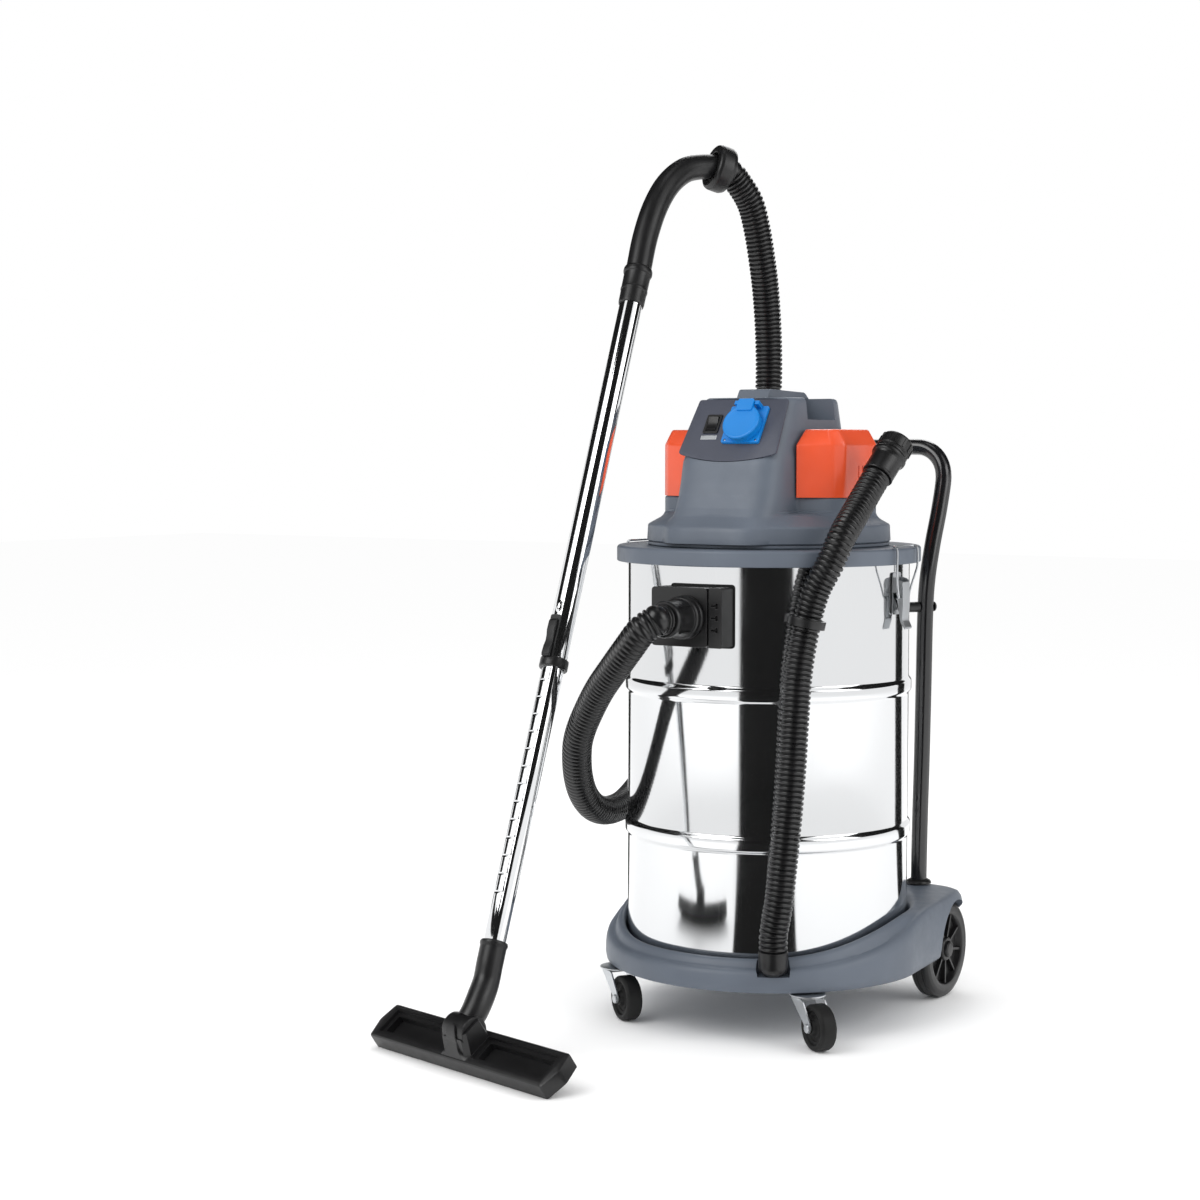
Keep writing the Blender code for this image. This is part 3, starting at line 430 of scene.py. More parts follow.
def resampled(points, count):
    """The same path with evenly spaced points."""
    total = length_of(points)
    wanted = [total * k / count for k in range(count + 1)]
    even, walked = [points[0]], 0.0
    for a, b in zip(points, points[1:]):
        step = (b - a).length
        while len(even) < count and wanted[len(even)] <= walked + step:
            even.append(a.lerp(b, (wanted[len(even)] - walked) / step))
        walked += step
    even.append(points[-1])
    return even


def frames_along(points):
    """Each point with its side and up directions, carried along without twist."""
    side = (points[1] - points[0]).normalized().orthogonal().normalized()
    made = []
    for k, point in enumerate(points):
        ahead = (points[min(k + 1, len(points) - 1)] - points[max(k - 1, 0)]).normalized()
        side = (side - ahead * side.dot(ahead)).normalized()
        made.append((point, side, ahead.cross(side)))
    return made


def swept(points, radii, sides=24, bore=None):
    """Round bar or tube along a path; radii is one number or one for each point.

    The bore needs fewer sections than the outside, so it takes every eighth point.
    """
    placed = frames_along(points)
    radii = radii if hasattr(radii, "__len__") else [radii] * len(points)
    rows = list(zip(placed, radii))
    if bore:
        rows += [(placed[k], bore) for k in range(len(placed) - 1, -1, -8)]
        if rows[-1][0] is not placed[0]:
            rows.append((placed[0], bore))
    sections = []
    for (point, side, up), radius in rows:
        angles = [2 * pi * s / sides for s in range(sides)]
        sections.append([point + radius * (side * cos(a) + up * sin(a)) for a in angles])
    return lofted(sections, closed=bool(bore))


def aim(axis, side=(0, 0, 1)):
    """Rotation that takes local Z to the axis and keeps local X near the side vector."""
    z = Vector(axis).normalized()
    x = Vector(side)
    x = (x - z * x.dot(z)).normalized()
    return Matrix((x, z.cross(x), z)).transposed()


def turn_about(letter, degrees):
    return Matrix.Rotation(radians(degrees), 3, letter)


def placed_mesh(name, mesh, finish, place, turn):
    bmesh.ops.recalc_face_normals(mesh, faces=mesh.faces[:])
    data = bpy.data.meshes.new(name)
    mesh.to_mesh(data)
    mesh.free()
    turn = turn.to_4x4() if turn else Matrix()
    data.transform(Matrix.Translation(AXIS + Vector(place)) @ turn)
    data.materials.append(finish)
    made = bpy.data.objects.new(name, data)
    bpy.context.scene.collection.objects.link(made)
    return made


def piece(name, mesh, finish, body=BODY, hides=(), place=(0, 0, 0), turn=None, bevel=0.0,
          sharp=35.0, cuts=(), steps=2):
    """One shown piece: place it, cut it, round its edges, and hand it to its body.

    Each cut is (mesh, operation, place, turn), in the tank's axes.
    """
    made = placed_mesh(name, mesh, finish, place, turn)
    for number, (tool_mesh, operation, tool_place, tool_turn) in enumerate(cuts):
        tool = placed_mesh(f"{name}_tool_{number}", tool_mesh, finish, tool_place, tool_turn)
        step = made.modifiers.new("cut", "BOOLEAN")
        step.operation = operation
        step.solver = "EXACT"
        step.object = tool
        graph = bpy.context.evaluated_depsgraph_get()
        data = bpy.data.meshes.new_from_object(made.evaluated_get(graph))
        made.modifiers.clear()
        old = made.data
        made.data = data
        bpy.data.meshes.remove(old)
        bpy.data.objects.remove(tool, do_unlink=True)
    data = made.data
    data.name = name
    data.shade_smooth()
    if bevel:
        rounding = made.modifiers.new("rounding", "BEVEL")
        rounding.width = bevel
        rounding.segments = steps
        rounding.limit_method = "ANGLE"
        rounding.angle_limit = radians(sharp)
        rounding.use_clamp_overlap = True
        normals = made.modifiers.new("normals", "WEIGHTED_NORMAL")
        normals.keep_sharp = True
        normals.weight = 80
    else:
        data.set_sharp_from_angle(angle=radians(sharp))
    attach(made, body)
    if hides:
        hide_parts(*hides)
    return made


def minus(mesh, place=(0, 0, 0), turn=None):
    return (mesh, "DIFFERENCE", place, turn)


def plus(mesh, place=(0, 0, 0), turn=None):
    return (mesh, "UNION", place, turn)


# ---------------------------------------------------------------- camera
def make_camera():
    """Stands 29 degrees to the right of the front and looks slightly down and left."""
    azimuth, distance, height = radians(29.0), 3.45, 0.846
    yaw, pitch = radians(4.19), radians(3.806)
    toward = Vector((sin(azimuth), -cos(azimuth), 0.0))
    across = Vector((cos(azimuth), sin(azimuth), 0.0))
    level = -toward * cos(yaw) - across * sin(yaw)
    ahead = level * cos(pitch) - Vector((0.0, 0.0, sin(pitch)))
    data = bpy.data.cameras.new("camera")
    data.sensor_width = 36.0
    data.lens = 69.0
    data.clip_end = 60.0
    camera = bpy.data.objects.new("camera", data)
    bpy.context.scene.collection.objects.link(camera)
    camera.location = AXIS + toward * distance + Vector((0.0, 0.0, height))
    camera.rotation_euler = ahead.to_track_quat("-Z", "Y").to_euler()
    bpy.context.scene.camera = camera
    return toward


# ---------------------------------------------------------------- hoses
# one rib as (share of the pitch, share of the rib's depth)
RIB_PROFILE = ((0.0, 0.0), (0.14, 0.06), (0.28, 0.75), (0.42, 1.0), (0.7, 1.0), (0.86, 0.75))
RIB_STEPS = 12
HOSE_WALL = 0.0007


def make_hose(name, route, radius, pitch, depth, node_name, **facts):
    """Ribbed tube with a real bore along the route that its solid has."""
    line = curve_points(route, 1)
    total = length_of(line)
    count = round(total / pitch)
    smoothed = resampled(line, count * RIB_STEPS)
    for _ in range(6):
        middle = [(a + b * 2 + c) / 4 for a, b, c in zip(smoothed, smoothed[1:], smoothed[2:])]
        smoothed = [smoothed[0]] + middle + [smoothed[-1]]
    points, radii = [], []
    for rib in range(count):
        for part, share in RIB_PROFILE:
            spot = (rib + part) * RIB_STEPS
            low = int(spot)
            points.append(smoothed[low].lerp(smoothed[low + 1], spot - low))
            radii.append(radius - depth * (1 - share))
    points.append(smoothed[-1])
    radii.append(radius - depth)
    mesh = swept(points, radii, 28, bore=radius - depth - HOSE_WALL)
    made = piece(name, mesh, HOSE, hides=(node_name,), sharp=60.0)
    path = [tuple(AXIS + point) for point in resampled(smoothed, count)]


# ---------------------------------------------------------------- trolley base
def base_reach(angle):
    """Distance from the tank's axis to the tray's edge: round in front, squared behind."""
    x, y = cos(angle), sin(angle)
    if y <= 0:
        return BASE_RADIUS
    slope = (BASE_RADIUS - BASE_REAR_HALF) / BASE_REAR_Y
    side = BASE_RADIUS / (abs(x) + slope * y)
    rear = BASE_REAR_Y / y
    power = 14.0
    return (side ** -power + rear ** -power) ** (-1 / power)


def lip_height(y):
    """The rim round the tank climbs from the front to the rear deck."""
    return LIP_FRONT_Z + (LIP_REAR_Z - LIP_FRONT_Z) * eased((y + 0.21) / 0.24)


# the tray's section as (share of the way from the edge to the pocket, share of the lip's height)
FRONT_SECTION = ((-0.01, 0.06), (0.0, 0.2), (0.0, 0.42), (0.03, 0.56), (0.09, 0.66), (0.2, 0.72),
                 (0.34, 0.745), (0.44, 0.75), (0.5, 0.8), (0.56, 0.9), (0.64, 0.965), (0.76, 1.0),
                 (0.88, 0.985), (0.96, 0.94), (1.0, 0.86))
REAR_SECTION = ((-0.01, 0.06), (0.0, 0.2), (0.0, 0.5), (0.005, 0.76), (0.03, 0.88), (0.07, 0.95),
                (0.14, 0.985), (0.24, 0.99), (0.36, 0.99), (0.48, 0.988), (0.62, 0.985), (0.76, 1.0),
                (0.88, 0.985), (0.96, 0.94), (1.0, 0.86))


def polar_loop(angles, radii, z):
    """Points round the tank's axis at one height."""
    return [(radius * cos(a), radius * sin(a), z) for a, radius in zip(angles, radii)]


def tray_point(angle, front, rear):
    """A point of the tray's skin, between the front section and the rear one."""
    reach = base_reach(angle)
    blend = eased((sin(angle) + 0.35) / 0.75)
    share = front[0] + (rear[0] - front[0]) * blend
    rise = front[1] + (rear[1] - front[1]) * blend
    out = reach - share * (reach - POCKET_RADIUS) if share >= 0 else reach - 0.0015
    z = BASE_BOTTOM + rise * (lip_height(out * sin(angle)) - BASE_BOTTOM)
    return (out * cos(angle), out * sin(angle), z)


def make_base():
    """Moulded tray: rolled inner lip, stepped shoulder in front, flat deck and wheel arches behind."""
    steps = 240
    angles = [2 * pi * k / steps for k in range(steps)]
    loops = [polar_loop(angles, [base_reach(a) - 0.016 for a in angles], BASE_BOTTOM + 0.0005),
             polar_loop(angles, [base_reach(a) - 0.005 for a in angles], BASE_BOTTOM + 0.0012)]
    for front, rear in zip(FRONT_SECTION, REAR_SECTION):
        loops.append([tray_point(a, front, rear) for a in angles])
    loops.append(polar_loop(angles, [POCKET_RADIUS] * steps, TANK_BOTTOM - 0.0003))
    body = lofted(loops)
    bmesh.ops.triangulate(body, faces=[face for face in body.faces if len(face.verts) > 4])
    cuts = []
    for side, _ in SIDES:
        inner, outer = REAR_WHEEL_X - REAR_WHEEL_HALF - 0.003, 0.26
        ends = sorted((side * inner, side * outer))
        well = cylinder(REAR_WHEEL_RADIUS + 0.0035, *ends, 64)
        cuts.append(minus(well, (0, REAR_WHEEL_Y, REAR_WHEEL_RADIUS), turn_about("Y", 90)))
        cuts.append(minus(cylinder(HANDLE_TUBE + 0.0012, 0.1, 0.2, 40), (side * HANDLE_X, HANDLE_Y, 0)))
    groove = ((-0.2095, REAR_WHEEL_Y - 0.0075, 0.0), (0.2095, REAR_WHEEL_Y + 0.0075, 0.0815))
    cuts.append(minus(box(*groove)))
    cuts.append(minus(cylinder(0.0245, 0.0995, 0.2, 48), DRAIN_SPOT))
    piece("tray_moulding", body, SLATE, hides=("base_tray",), sharp=50.0, cuts=cuts)
    for side, word in SIDES:
        foot = softened(((HANDLE_TUBE + 0.0001, 0.1638), (HANDLE_TUBE + 0.0075, 0.1638),
                         (HANDLE_TUBE + 0.006, 0.168), (HANDLE_TUBE + 0.0015, 0.1705),
                         (HANDLE_TUBE + 0.0001, 0.1705)), 0.001)
        piece(f"handle_foot_{word}", turned(foot, 40), BLACK, place=(side * HANDLE_X, HANDLE_Y, 0))


def make_caster(side, word):
    spot = Vector((side * CASTER_X, CASTER_Y, 0))
    yaw = turn_about("Z", CASTER_YAW)
    plate = softened(((0, 0.0703), (0.017, 0.0703), (0.0185, 0.0712), (0.0215, 0.0708), (0.026, 0.0722),
                      (0.026, 0.0742), (0, 0.0742)), 0.0005)
    piece(f"raceway_{word}", turned(plate, 40), ZINC, hides=(f"caster_plate_{word}",), place=spot)
    body = f"caster_{word}"
    flat = turn_about("X", 90)
    crown = arc((0, 0), 0.0205, 70, 290, 20) + [(0.012, -0.0185), (0.012, 0.0185)]
    cheek = round_corners(((-0.0175, 0.0698), (0.0165, 0.0698), (CASTER_TRAIL + 0.0085, 0.038),
                           (CASTER_TRAIL + 0.006, 0.0265), (CASTER_TRAIL - 0.006, 0.0265),
                           (CASTER_TRAIL - 0.01, 0.036)), 0.005)
    cuts = []
    for low, high in ((-0.0185, -0.0163), (0.0163, 0.0185)):
        cuts.append(plus(extruded(cheek, -high, -low), spot, yaw @ flat))
    piece(f"fork_{word}", extruded(crown, 0.0674, 0.07), ZINC, body, (f"caster_fork_{word}",),
          spot, yaw, bevel=0.0005, cuts=cuts)
    hub = spot + yaw @ Vector((CASTER_TRAIL, 0, CASTER_RADIUS))
    pin = ((0, -0.0215), (0.005, -0.0215), (0.0065, -0.0205), (0.0065, -0.0187), (0.004, -0.0187),
           (0.004, 0.0187), (0.0065, 0.0187), (0.0065, 0.0205), (0.005, 0.0215), (0, 0.0215))
    piece(f"caster_bolt_{word}", turned(softened(pin, 0.0004), 32), ZINC, body, (f"caster_axle_{word}",),
          hub, yaw @ flat)
    r, w = CASTER_RADIUS, 0.0125
    half = [(0.0043, 0.014), (0.0095, 0.014), (0.0115, 0.0085), (0.015, 0.0075), (0.016, 0.0062),
            (0.0185, 0.0062), (0.0195, 0.0078), (r - 0.0095, 0.008), (r - 0.0085, 0.0112),
            (r - 0.005, w), (r - 0.0018, w - 0.0012), (r, w - 0.004)]
    tyre = turned(softened(both_halves(half), 0.0007), 56)
    piece(f"caster_tyre_{word}", tyre, RUBBER, f"caster_roller_{word}", (f"caster_wheel_{word}",),
          hub, yaw @ flat)


def make_rear_wheel(side, word):
    """Moulded wheel: ribbed tread, sunk web with spokes, hub and a pressed-on cap."""
    r, w, bore = REAR_WHEEL_RADIUS, REAR_WHEEL_HALF, 0.0063
    turn = turn_about("Y", 90)
    hub = Vector((side * REAR_WHEEL_X, REAR_WHEEL_Y, REAR_WHEEL_RADIUS))
    half = [(bore, w), (0.0165, w), (0.018, w - 0.0015), (0.0195, 0.0065), (0.0505, 0.0055),
            (0.053, w - 0.003), (0.0545, w - 0.0005), (0.058, w), (r - 0.0085, w), (r - 0.003, w - 0.0016),
            (r, w - 0.005), (r, 0.0062), (r - 0.0016, 0.0056), (r - 0.0016, 0.0044), (r, 0.0038)]
    cuts = []
    for k in range(9):
        spoke = box((0.0185, -0.0016, -w + 0.0035), (0.0535, 0.0016, w - 0.0035))
        cuts.append(plus(spoke, hub, turn @ turn_about("Z", 40 * k)))
    body = f"rear_roller_{word}"
    piece(f"rear_tyre_{word}", turned(softened(both_halves(half), 0.0006), 84), BLACK, body,
          (f"rear_wheel_{word}",), hub, turn, cuts=cuts)
    face = w + 0.0003
    cap = softened(((0.0066, face), (0.013, face), (0.0118, face + 0.0035), (0.009, face + 0.0048),
                    (0, face + 0.0048), (0, face + 0.0038), (0.0066, face + 0.0038)), 0.0006)
    flip = turn if side > 0 else turn_about("Y", -90)
    piece(f"hub_cap_{word}", turned(cap, 40), BLACK, BODY, (f"axle_cap_{word}",), hub, flip)


def make_running_gear():
    make_base()
    half = REAR_WHEEL_X + REAR_WHEEL_HALF + 0.0035
    rod = softened(((0, -half), (0.006, -half), (0.006, half), (0, half)), 0.0012)
    piece("axle_rod", turned(rod, 32), ZINC, hides=("rear_axle",), turn=turn_about("Y", 90),
          place=(0, REAR_WHEEL_Y, REAR_WHEEL_RADIUS))
    for side, word in SIDES:
        make_caster(side, word)
        make_rear_wheel(side, word)


# ---------------------------------------------------------------- push handle
def make_push_handle():
    half = [(HANDLE_X, HANDLE_Y, 0.1005), (HANDLE_X, HANDLE_Y, 0.18), (0.1362, 0.2474, 0.27),
            (0.138, 0.248, 0.36), (0.1395, 0.2485, 0.47), (0.141, 0.249, 0.585), (0.1425, 0.2525, 0.64),
            (0.145, 0.265, 0.695), (0.148, 0.28, 0.745), (HANDLE_TOP_X, 0.291, 0.79)]
    bend = 0.05
    for a in (15, 30, 45, 60, 75, 90):
        lean = sin(radians(a))
        half.append((HANDLE_TOP_X - bend * (1 - cos(radians(a))), 0.291 + 0.012 * lean,
                     HANDLE_TOP_Z - bend + bend * lean))
    half += [(x, 0.303, HANDLE_TOP_Z) for x in (0.06, 0.02)]
    route = half + [(-x, y, z) for x, y, z in reversed(half)]
    line = resampled(curve_points(route, 0, 12), 260)
    piece("push_tube", swept(line, HANDLE_TUBE, 32), PAINT, hides=("push_handle",), sharp=60.0)
    out = SPACER_SPOT.normalized()
    reach = hypot(*SPACER_SPOT.xy)
    for side, word in SIDES:
        turn = aim((side * out.x, out.y, 0))
        foot = TANK_RADIUS + 0.0009
        spacer = softened(((0, foot), (0.0095, foot), (0.0095, foot + 0.0031), (0.008, foot + 0.0041),
                           (0.008, reach - 0.014), (0, reach - 0.014)), 0.0008)
        piece(f"stand_off_{word}", turned(spacer, 32), BLACK, hides=(f"handle_spacer_{word}",),
              place=(0, 0, SPACER_Z), turn=turn)
        start = reach + HANDLE_TUBE + 0.0008
        bolt = softened(((0, start), (0.008, start), (0.0076, start + 0.0025), (0.005, start + 0.0045),
                         (0, start + 0.0052)), 0.0006)
        piece(f"domed_bolt_{word}", turned(bolt, 32), BLACK, hides=(f"handle_bolt_{word}",),
              place=(0, 0, SPACER_Z), turn=turn)


# ---------------------------------------------------------------- tank and its fittings
def tank_side(offset):
    """The wall from bottom to rim with its two rolled bands."""
    foot = 0.005
    points = [(TANK_RADIUS + offset - foot * (1 - sin(radians(a))), TANK_BOTTOM - offset
               + foot * (1 - cos(radians(a)))) for a in (0, 30, 60, 90)]
    for low, high in BEADS:
        for start, end, up in ((low, low + 0.008, True), (high - 0.008, high, False)):
            for k in range(9):
                t = k / 8
                out = eased(t) if up else 1 - eased(t)
                points.append((TANK_RADIUS + offset + BEAD_HEIGHT * out, start + (end - start) * t))
    points.append((TANK_RADIUS + offset, 0.6885))
    return points


def make_tank():
    outside = [(0, TANK_BOTTOM)] + tank_side(0)
    inside = tank_side(-TANK_WALL)[::-1] + [(0, TANK_BOTTOM + TANK_WALL)]
    opening = minus(cylinder(0.0275, 0.19, 0.23, 40), (0, 0, INLET_Z), aim(FORWARD))
    outlet = minus(cylinder(0.0125, 0.19, 0.25, 24), (0, 0, DRAIN_PORT_Z), aim(DRAIN_SPOT))
    piece("steel_tank", turned(outside + inside, 180), STEEL, hides=("tank",), sharp=50.0,
          cuts=(opening, outlet))
    seal = softened(((0.2115, 0.6895), (0.2115, 0.6925), (0.2045, 0.6925), (0.2045, 0.6895)), 0.001)
    piece("rim_seal", turned(seal, 72), RUBBER, hides=("tank_seal",))


def off_the_tank(gap):
    """Cut that keeps a fitting clear of the tank's wall."""
    return minus(cylinder(TANK_RADIUS + gap, 0.5, 0.7, 160))


def hose_throat():
    """Cut for the hose's way through a fitting into the tank."""
    return minus(cylinder(0.021, 0.15, 0.26, 40), (0, 0, INLET_Z), aim(FORWARD))


def upright_outline(low_x, high_x, low_z, high_z, radius):
    """Rounded rectangle drawn as (x, z)."""
    return round_corners(((low_x, low_z), (high_x, low_z), (high_x, high_z), (low_x, high_z)), radius)


def make_inlet():
    """Hose inlet: moulded box on a backing plate, slotted end block, turning collar."""
    low_z, high_z = 0.564, 0.648
    outline = upright_outline(-0.0575, 0.034, low_z, high_z, 0.006)
    piece("inlet_face", extruded(outline, -0.2385, -0.195), BLACK, hides=("inlet_housing",),
          turn=FACE_ON, bevel=0.0012, cuts=(off_the_tank(0.0022), hose_throat()))
    block = upright_outline(0.036, 0.0572, low_z - 0.0005, high_z + 0.0005, 0.003)
    cuts = [off_the_tank(0.0022)]
    for z in (0.623, INLET_Z, 0.589):
        cuts.append(minus(box((0.04, -0.242, z - 0.0012), (0.0485, -0.233, z + 0.0012))))
        cuts.append(minus(box((0.0475, -0.242, z - 0.0036), (0.0508, -0.233, z + 0.0036))))
    piece("inlet_latch_block", extruded(block, -0.2375, -0.201), BLACK, turn=FACE_ON, bevel=0.0009,
          cuts=cuts)
    plate = upright_outline(-0.044, 0.059, 0.5612, 0.652, 0.006)
    outer, inner = 0.23, TANK_RADIUS + 0.002
    beyond = minus(turned(((outer, 0.5), (outer, 0.7), (inner, 0.7), (inner, 0.5)), 160))
    piece("inlet_gasket", extruded(plate, -0.2118, -0.196), RUBBER, turn=FACE_ON,
          cuts=(off_the_tank(0.0004), beyond, hose_throat()))
    collar = softened(((0.019, 0.2403), (0.031, 0.2403), (0.0312, 0.2445), (0.03, 0.247), (0.0296, 0.249),
                       (0.0303, 0.2505), (0.0303, 0.255), (0.0288, 0.2575), (0.027, 0.2585), (0.0262, 0.266),
                       (0.0254, 0.278), (0.025, 0.289), (0.0262, 0.2905), (0.0262, 0.2965), (0.0248, 0.3),
                       (0.019, 0.3)), 0.0006)
    grips = []
    for k in range(4):
        fin = box((-0.0016, 0.0245, 0.259), (0.0016, 0.0278, 0.286))
        grips.append(plus(fin, (0, 0, INLET_Z), aim(FORWARD) @ turn_about("Z", 90 * k + 45)))
    piece("swivel_collar", turned(collar, 72), BLACK, hides=("hose_connector",), place=(0, 0, INLET_Z),
          turn=aim(FORWARD), cuts=grips)


def make_drain():
    elbow = softened(((0, 0.1003), (0.012, 0.1003), (0.0195, 0.1065), (0.0212, 0.112), (0.0212, 0.135),
                      (0.0168, 0.135), (0.0168, 0.125), (0, 0.125)), 0.001)
    spigot = plus(cylinder(0.0118, 0.01, 0.034, 32), DRAIN_SPOT + Vector((0, 0, DRAIN_PORT_Z)),
                  aim(-DRAIN_SPOT))
    piece("drain_bend", turned(elbow, 48), BLACK, hides=("drain_elbow",), place=DRAIN_SPOT, cuts=(spigot,))
    end = Vector(DRAIN_ROUTE[-1])
    turn = aim(CUFF_AXIS, (1, 0, 0))
    cuff = softened(((0.0212, 0.0004), (0.0225, 0.0004), (0.0232, 0.002), (0.0226, 0.0045), (0.0226, 0.03),
                     (0.0236, 0.033), (0.0252, 0.0345), (0.0258, 0.036), (0.0258, 0.0395), (0.0248, 0.041),
                     (0.0205, 0.0413), (0.0205, 0.06), (0.0165, 0.06), (0.0165, 0.0004)), 0.0006)
    cuff_piece = piece("drain_end_cuff", turned(cuff, 56), BLACK, hides=("drain_cuff",), place=end,
                       turn=turn)
    cap = softened(((0.0209, 0.0418), (0.0244, 0.0418), (0.0244, 0.0455), (0.0232, 0.0462), (0.0232, 0.0478),
                    (0.0244, 0.0486), (0.0244, 0.065), (0.0228, 0.068), (0.02, 0.0685), (0, 0.0685),
                    (0, 0.0605), (0.0209, 0.0605)), 0.0006)
    ribs = []
    for k in range(12):
        rib = box((0.0236, -0.0016, 0.05), (0.0256, 0.0016, 0.0645))
        ribs.append(plus(rib, end, turn @ turn_about("Z", 30 * k)))
    cap_piece = piece("drain_screw_cap", turned(cap, 60), BLACK, "cap", ("drain_cap",), end, turn, cuts=ribs)
    here = Vector(DRAIN_ROUTE[CLIP_INDEX])
    along = Vector(DRAIN_ROUTE[CLIP_INDEX + 1]) - Vector(DRAIN_ROUTE[CLIP_INDEX - 1])
    clip = softened(((0.0265, -0.006), (0.0265, 0.006), (0.021, 0.006), (0.021, -0.006)), 0.0008)
    hug = minus(cylinder(TANK_RADIUS + 0.0003, 0.55, 0.65, 120))
    piece("hose_clip", turned(clip, 56), BLACK, hides=("drain_clip",), place=here,
          turn=aim(along, (1, 0, 0)), cuts=(hug,))
    make_hose("drain_tube", DRAIN_ROUTE, DRAIN_RADIUS, 0.0075, 0.0026, "drain_hose",
              far_end="fitting", lay="hanging", with_pieces=[cuff_piece, cap_piece])


# ---------------------------------------------------------------- toggle latches
def make_latch(side, word):
    mirror = turn_about("Z", 0 if side > 0 else 180)
    body = f"latch_{word}"
    sheet = 0.0015
    ear = round_corners(((0.2115, LATCH_PIVOT.z - 0.012), (0.2245, LATCH_PIVOT.z - 0.0085),
                         (0.2278, LATCH_PIVOT.z), (0.2245, LATCH_PIVOT.z + 0.0085),
                         (0.2115, LATCH_PIVOT.z + 0.012)), 0.004)
    cuts = [plus(extruded(ear, -low - sheet, -low), turn=mirror @ turn_about("X", 90))
            for low in (-0.013, 0.0115)]
    plate = round_corners(((-0.013, 0.604), (0.013, 0.604), (0.013, 0.665), (-0.013, 0.665)), 0.004)
    piece(f"latch_plate_{word}", extruded(plate, 0.2108, 0.2126), ZINC, hides=(f"latch_bracket_{word}",),
          turn=mirror @ SIDE_ON, bevel=0.0004, cuts=cuts)
    for k, z in enumerate((0.612, 0.628)):
        rivet = softened(((0, 0), (0.0032, 0), (0.0026, 0.0012), (0, 0.0017)), 0.0004)
        piece(f"latch_rivet_{word}_{k}", turned(rivet, 20), ZINC,
              place=mirror @ Vector((0.2124, 0, z)), turn=mirror @ aim((1, 0, 0)))
    shape = round_corners(((-0.0035, 0.0065), (0.0035, 0.0065), (0.0046, -0.01), (0.0046, -0.03),
                           (0.0032, -0.05), (0.0086, -0.0615), (0.0068, -0.064), (-0.0004, -0.052),
                           (-0.0034, -0.03)), 0.003)
    hollow = box((-0.006, -0.0098, -0.048), (0.003, 0.0098, -0.0015))
    pivot = mirror @ LATCH_PIVOT
    piece(f"latch_arm_{word}", extruded(shape, -0.0112, 0.0112), ZINC, body, (f"latch_lever_{word}",), pivot,
          mirror @ turn_about("X", 90), bevel=0.0006, cuts=(minus(hollow, pivot, mirror),))
    wire = 0.0016
    top = (RING_TOP + wire + 0.0006) - (LATCH_PIVOT.z - BAIL_OFFSET)
    out = RING_RADIUS + wire + 0.0008 - LATCH_PIVOT.x
    half = [(0, 0.001, 0), (0, 0.0125, 0), (0, 0.016, 0.0008), (0.0003, 0.0185, 0.006),
            (0.0012, 0.0235, 0.0185), (0.0035, 0.029, 0.032), (out, 0.0335, 0.046),
            (out, 0.0335, top - 0.006), (out - 0.002, 0.0335, top - 0.001),
            (out - 0.006, 0.0315, top + 0.0003), (out - 0.0085, 0.028, top + 0.0006),
            (out - 0.01, 0.023, top + 0.0006), (out - 0.0104, 0.01, top + 0.0006)]
    loop = half + [(x, -y, z) for x, y, z in reversed(half)]
    line = resampled(curve_points(loop, 0, 8), 150)
    piece(f"latch_wire_{word}", swept(line, wire, 14), ZINC, f"bail_{word}", (f"latch_bail_{word}",),
          pivot - Vector((0, 0, BAIL_OFFSET)), mirror, sharp=60.0)


# ---------------------------------------------------------------- motor head
COVER_X = 0.0895
COVER_FRONT_Y = -0.083
COVER_FLOOR = 0.7731
COVER_FOOT = ((COVER_X, COVER_FRONT_Y), (0.14, -0.061), (0.153, -0.048), (0.153, 0.052), (0.14, 0.07),
              (COVER_X, 0.086))


def blend_max(a, b, soft):
    """Larger of two radii with a fillet where they meet."""
    share = max(0.0, soft - abs(a - b)) / soft
    return max(a, b) + share * share * soft * 0.25


def mixed(table, z):
    """Value at a height from (height, value) pairs, with straight lines between them."""
    if z <= table[0][0]:
        return table[0][1]
    for (low, one), (high, two) in zip(table, table[1:]):
        if z <= high:
            return one + (two - one) * (z - low) / (high - low)
    return table[-1][1]


# the head's section as (height, distance from the axis): round skirt, then the tower's sides
SKIRT = ((0.707, 0.18), (0.7085, 0.1814), (0.73, 0.1802), (0.732, 0.179), (0.734, 0.1755),
         (0.748, 0.15), (0.75, 0.14), (0.752, 0.0))
HALF_WIDTH = ((0.707, 0.0895), (0.826, 0.0875), (0.912, 0.0785), (0.9165, 0.0765), (HEAD_TOP, 0.0735))
REACH_FRONT = ((0.707, 0.186), (0.728, 0.181), (0.736, 0.1725), (0.746, 0.1635), (0.758, 0.156),
               (0.775, 0.148), (0.795, 0.142), (0.8243, 0.1352), (0.9165, 0.0752), (HEAD_TOP, 0.0725))
REACH_REAR = ((0.707, 0.182), (0.728, 0.165), (0.74, 0.146), (0.752, 0.134), (0.775, 0.1215), (0.83, 0.111),
              (0.91, 0.0985), (0.9165, 0.0965), (HEAD_TOP, 0.0935))


def tower_reach(angle, z):
    """Rounded rectangle in polar form."""
    x, y = cos(angle), sin(angle)
    across = mixed(HALF_WIDTH, z)
    deep = mixed(REACH_REAR if y >= 0 else REACH_FRONT, z)
    power = 5.5
    return ((abs(x) / across) ** power + (abs(y) / deep) ** power) ** (-1 / power)


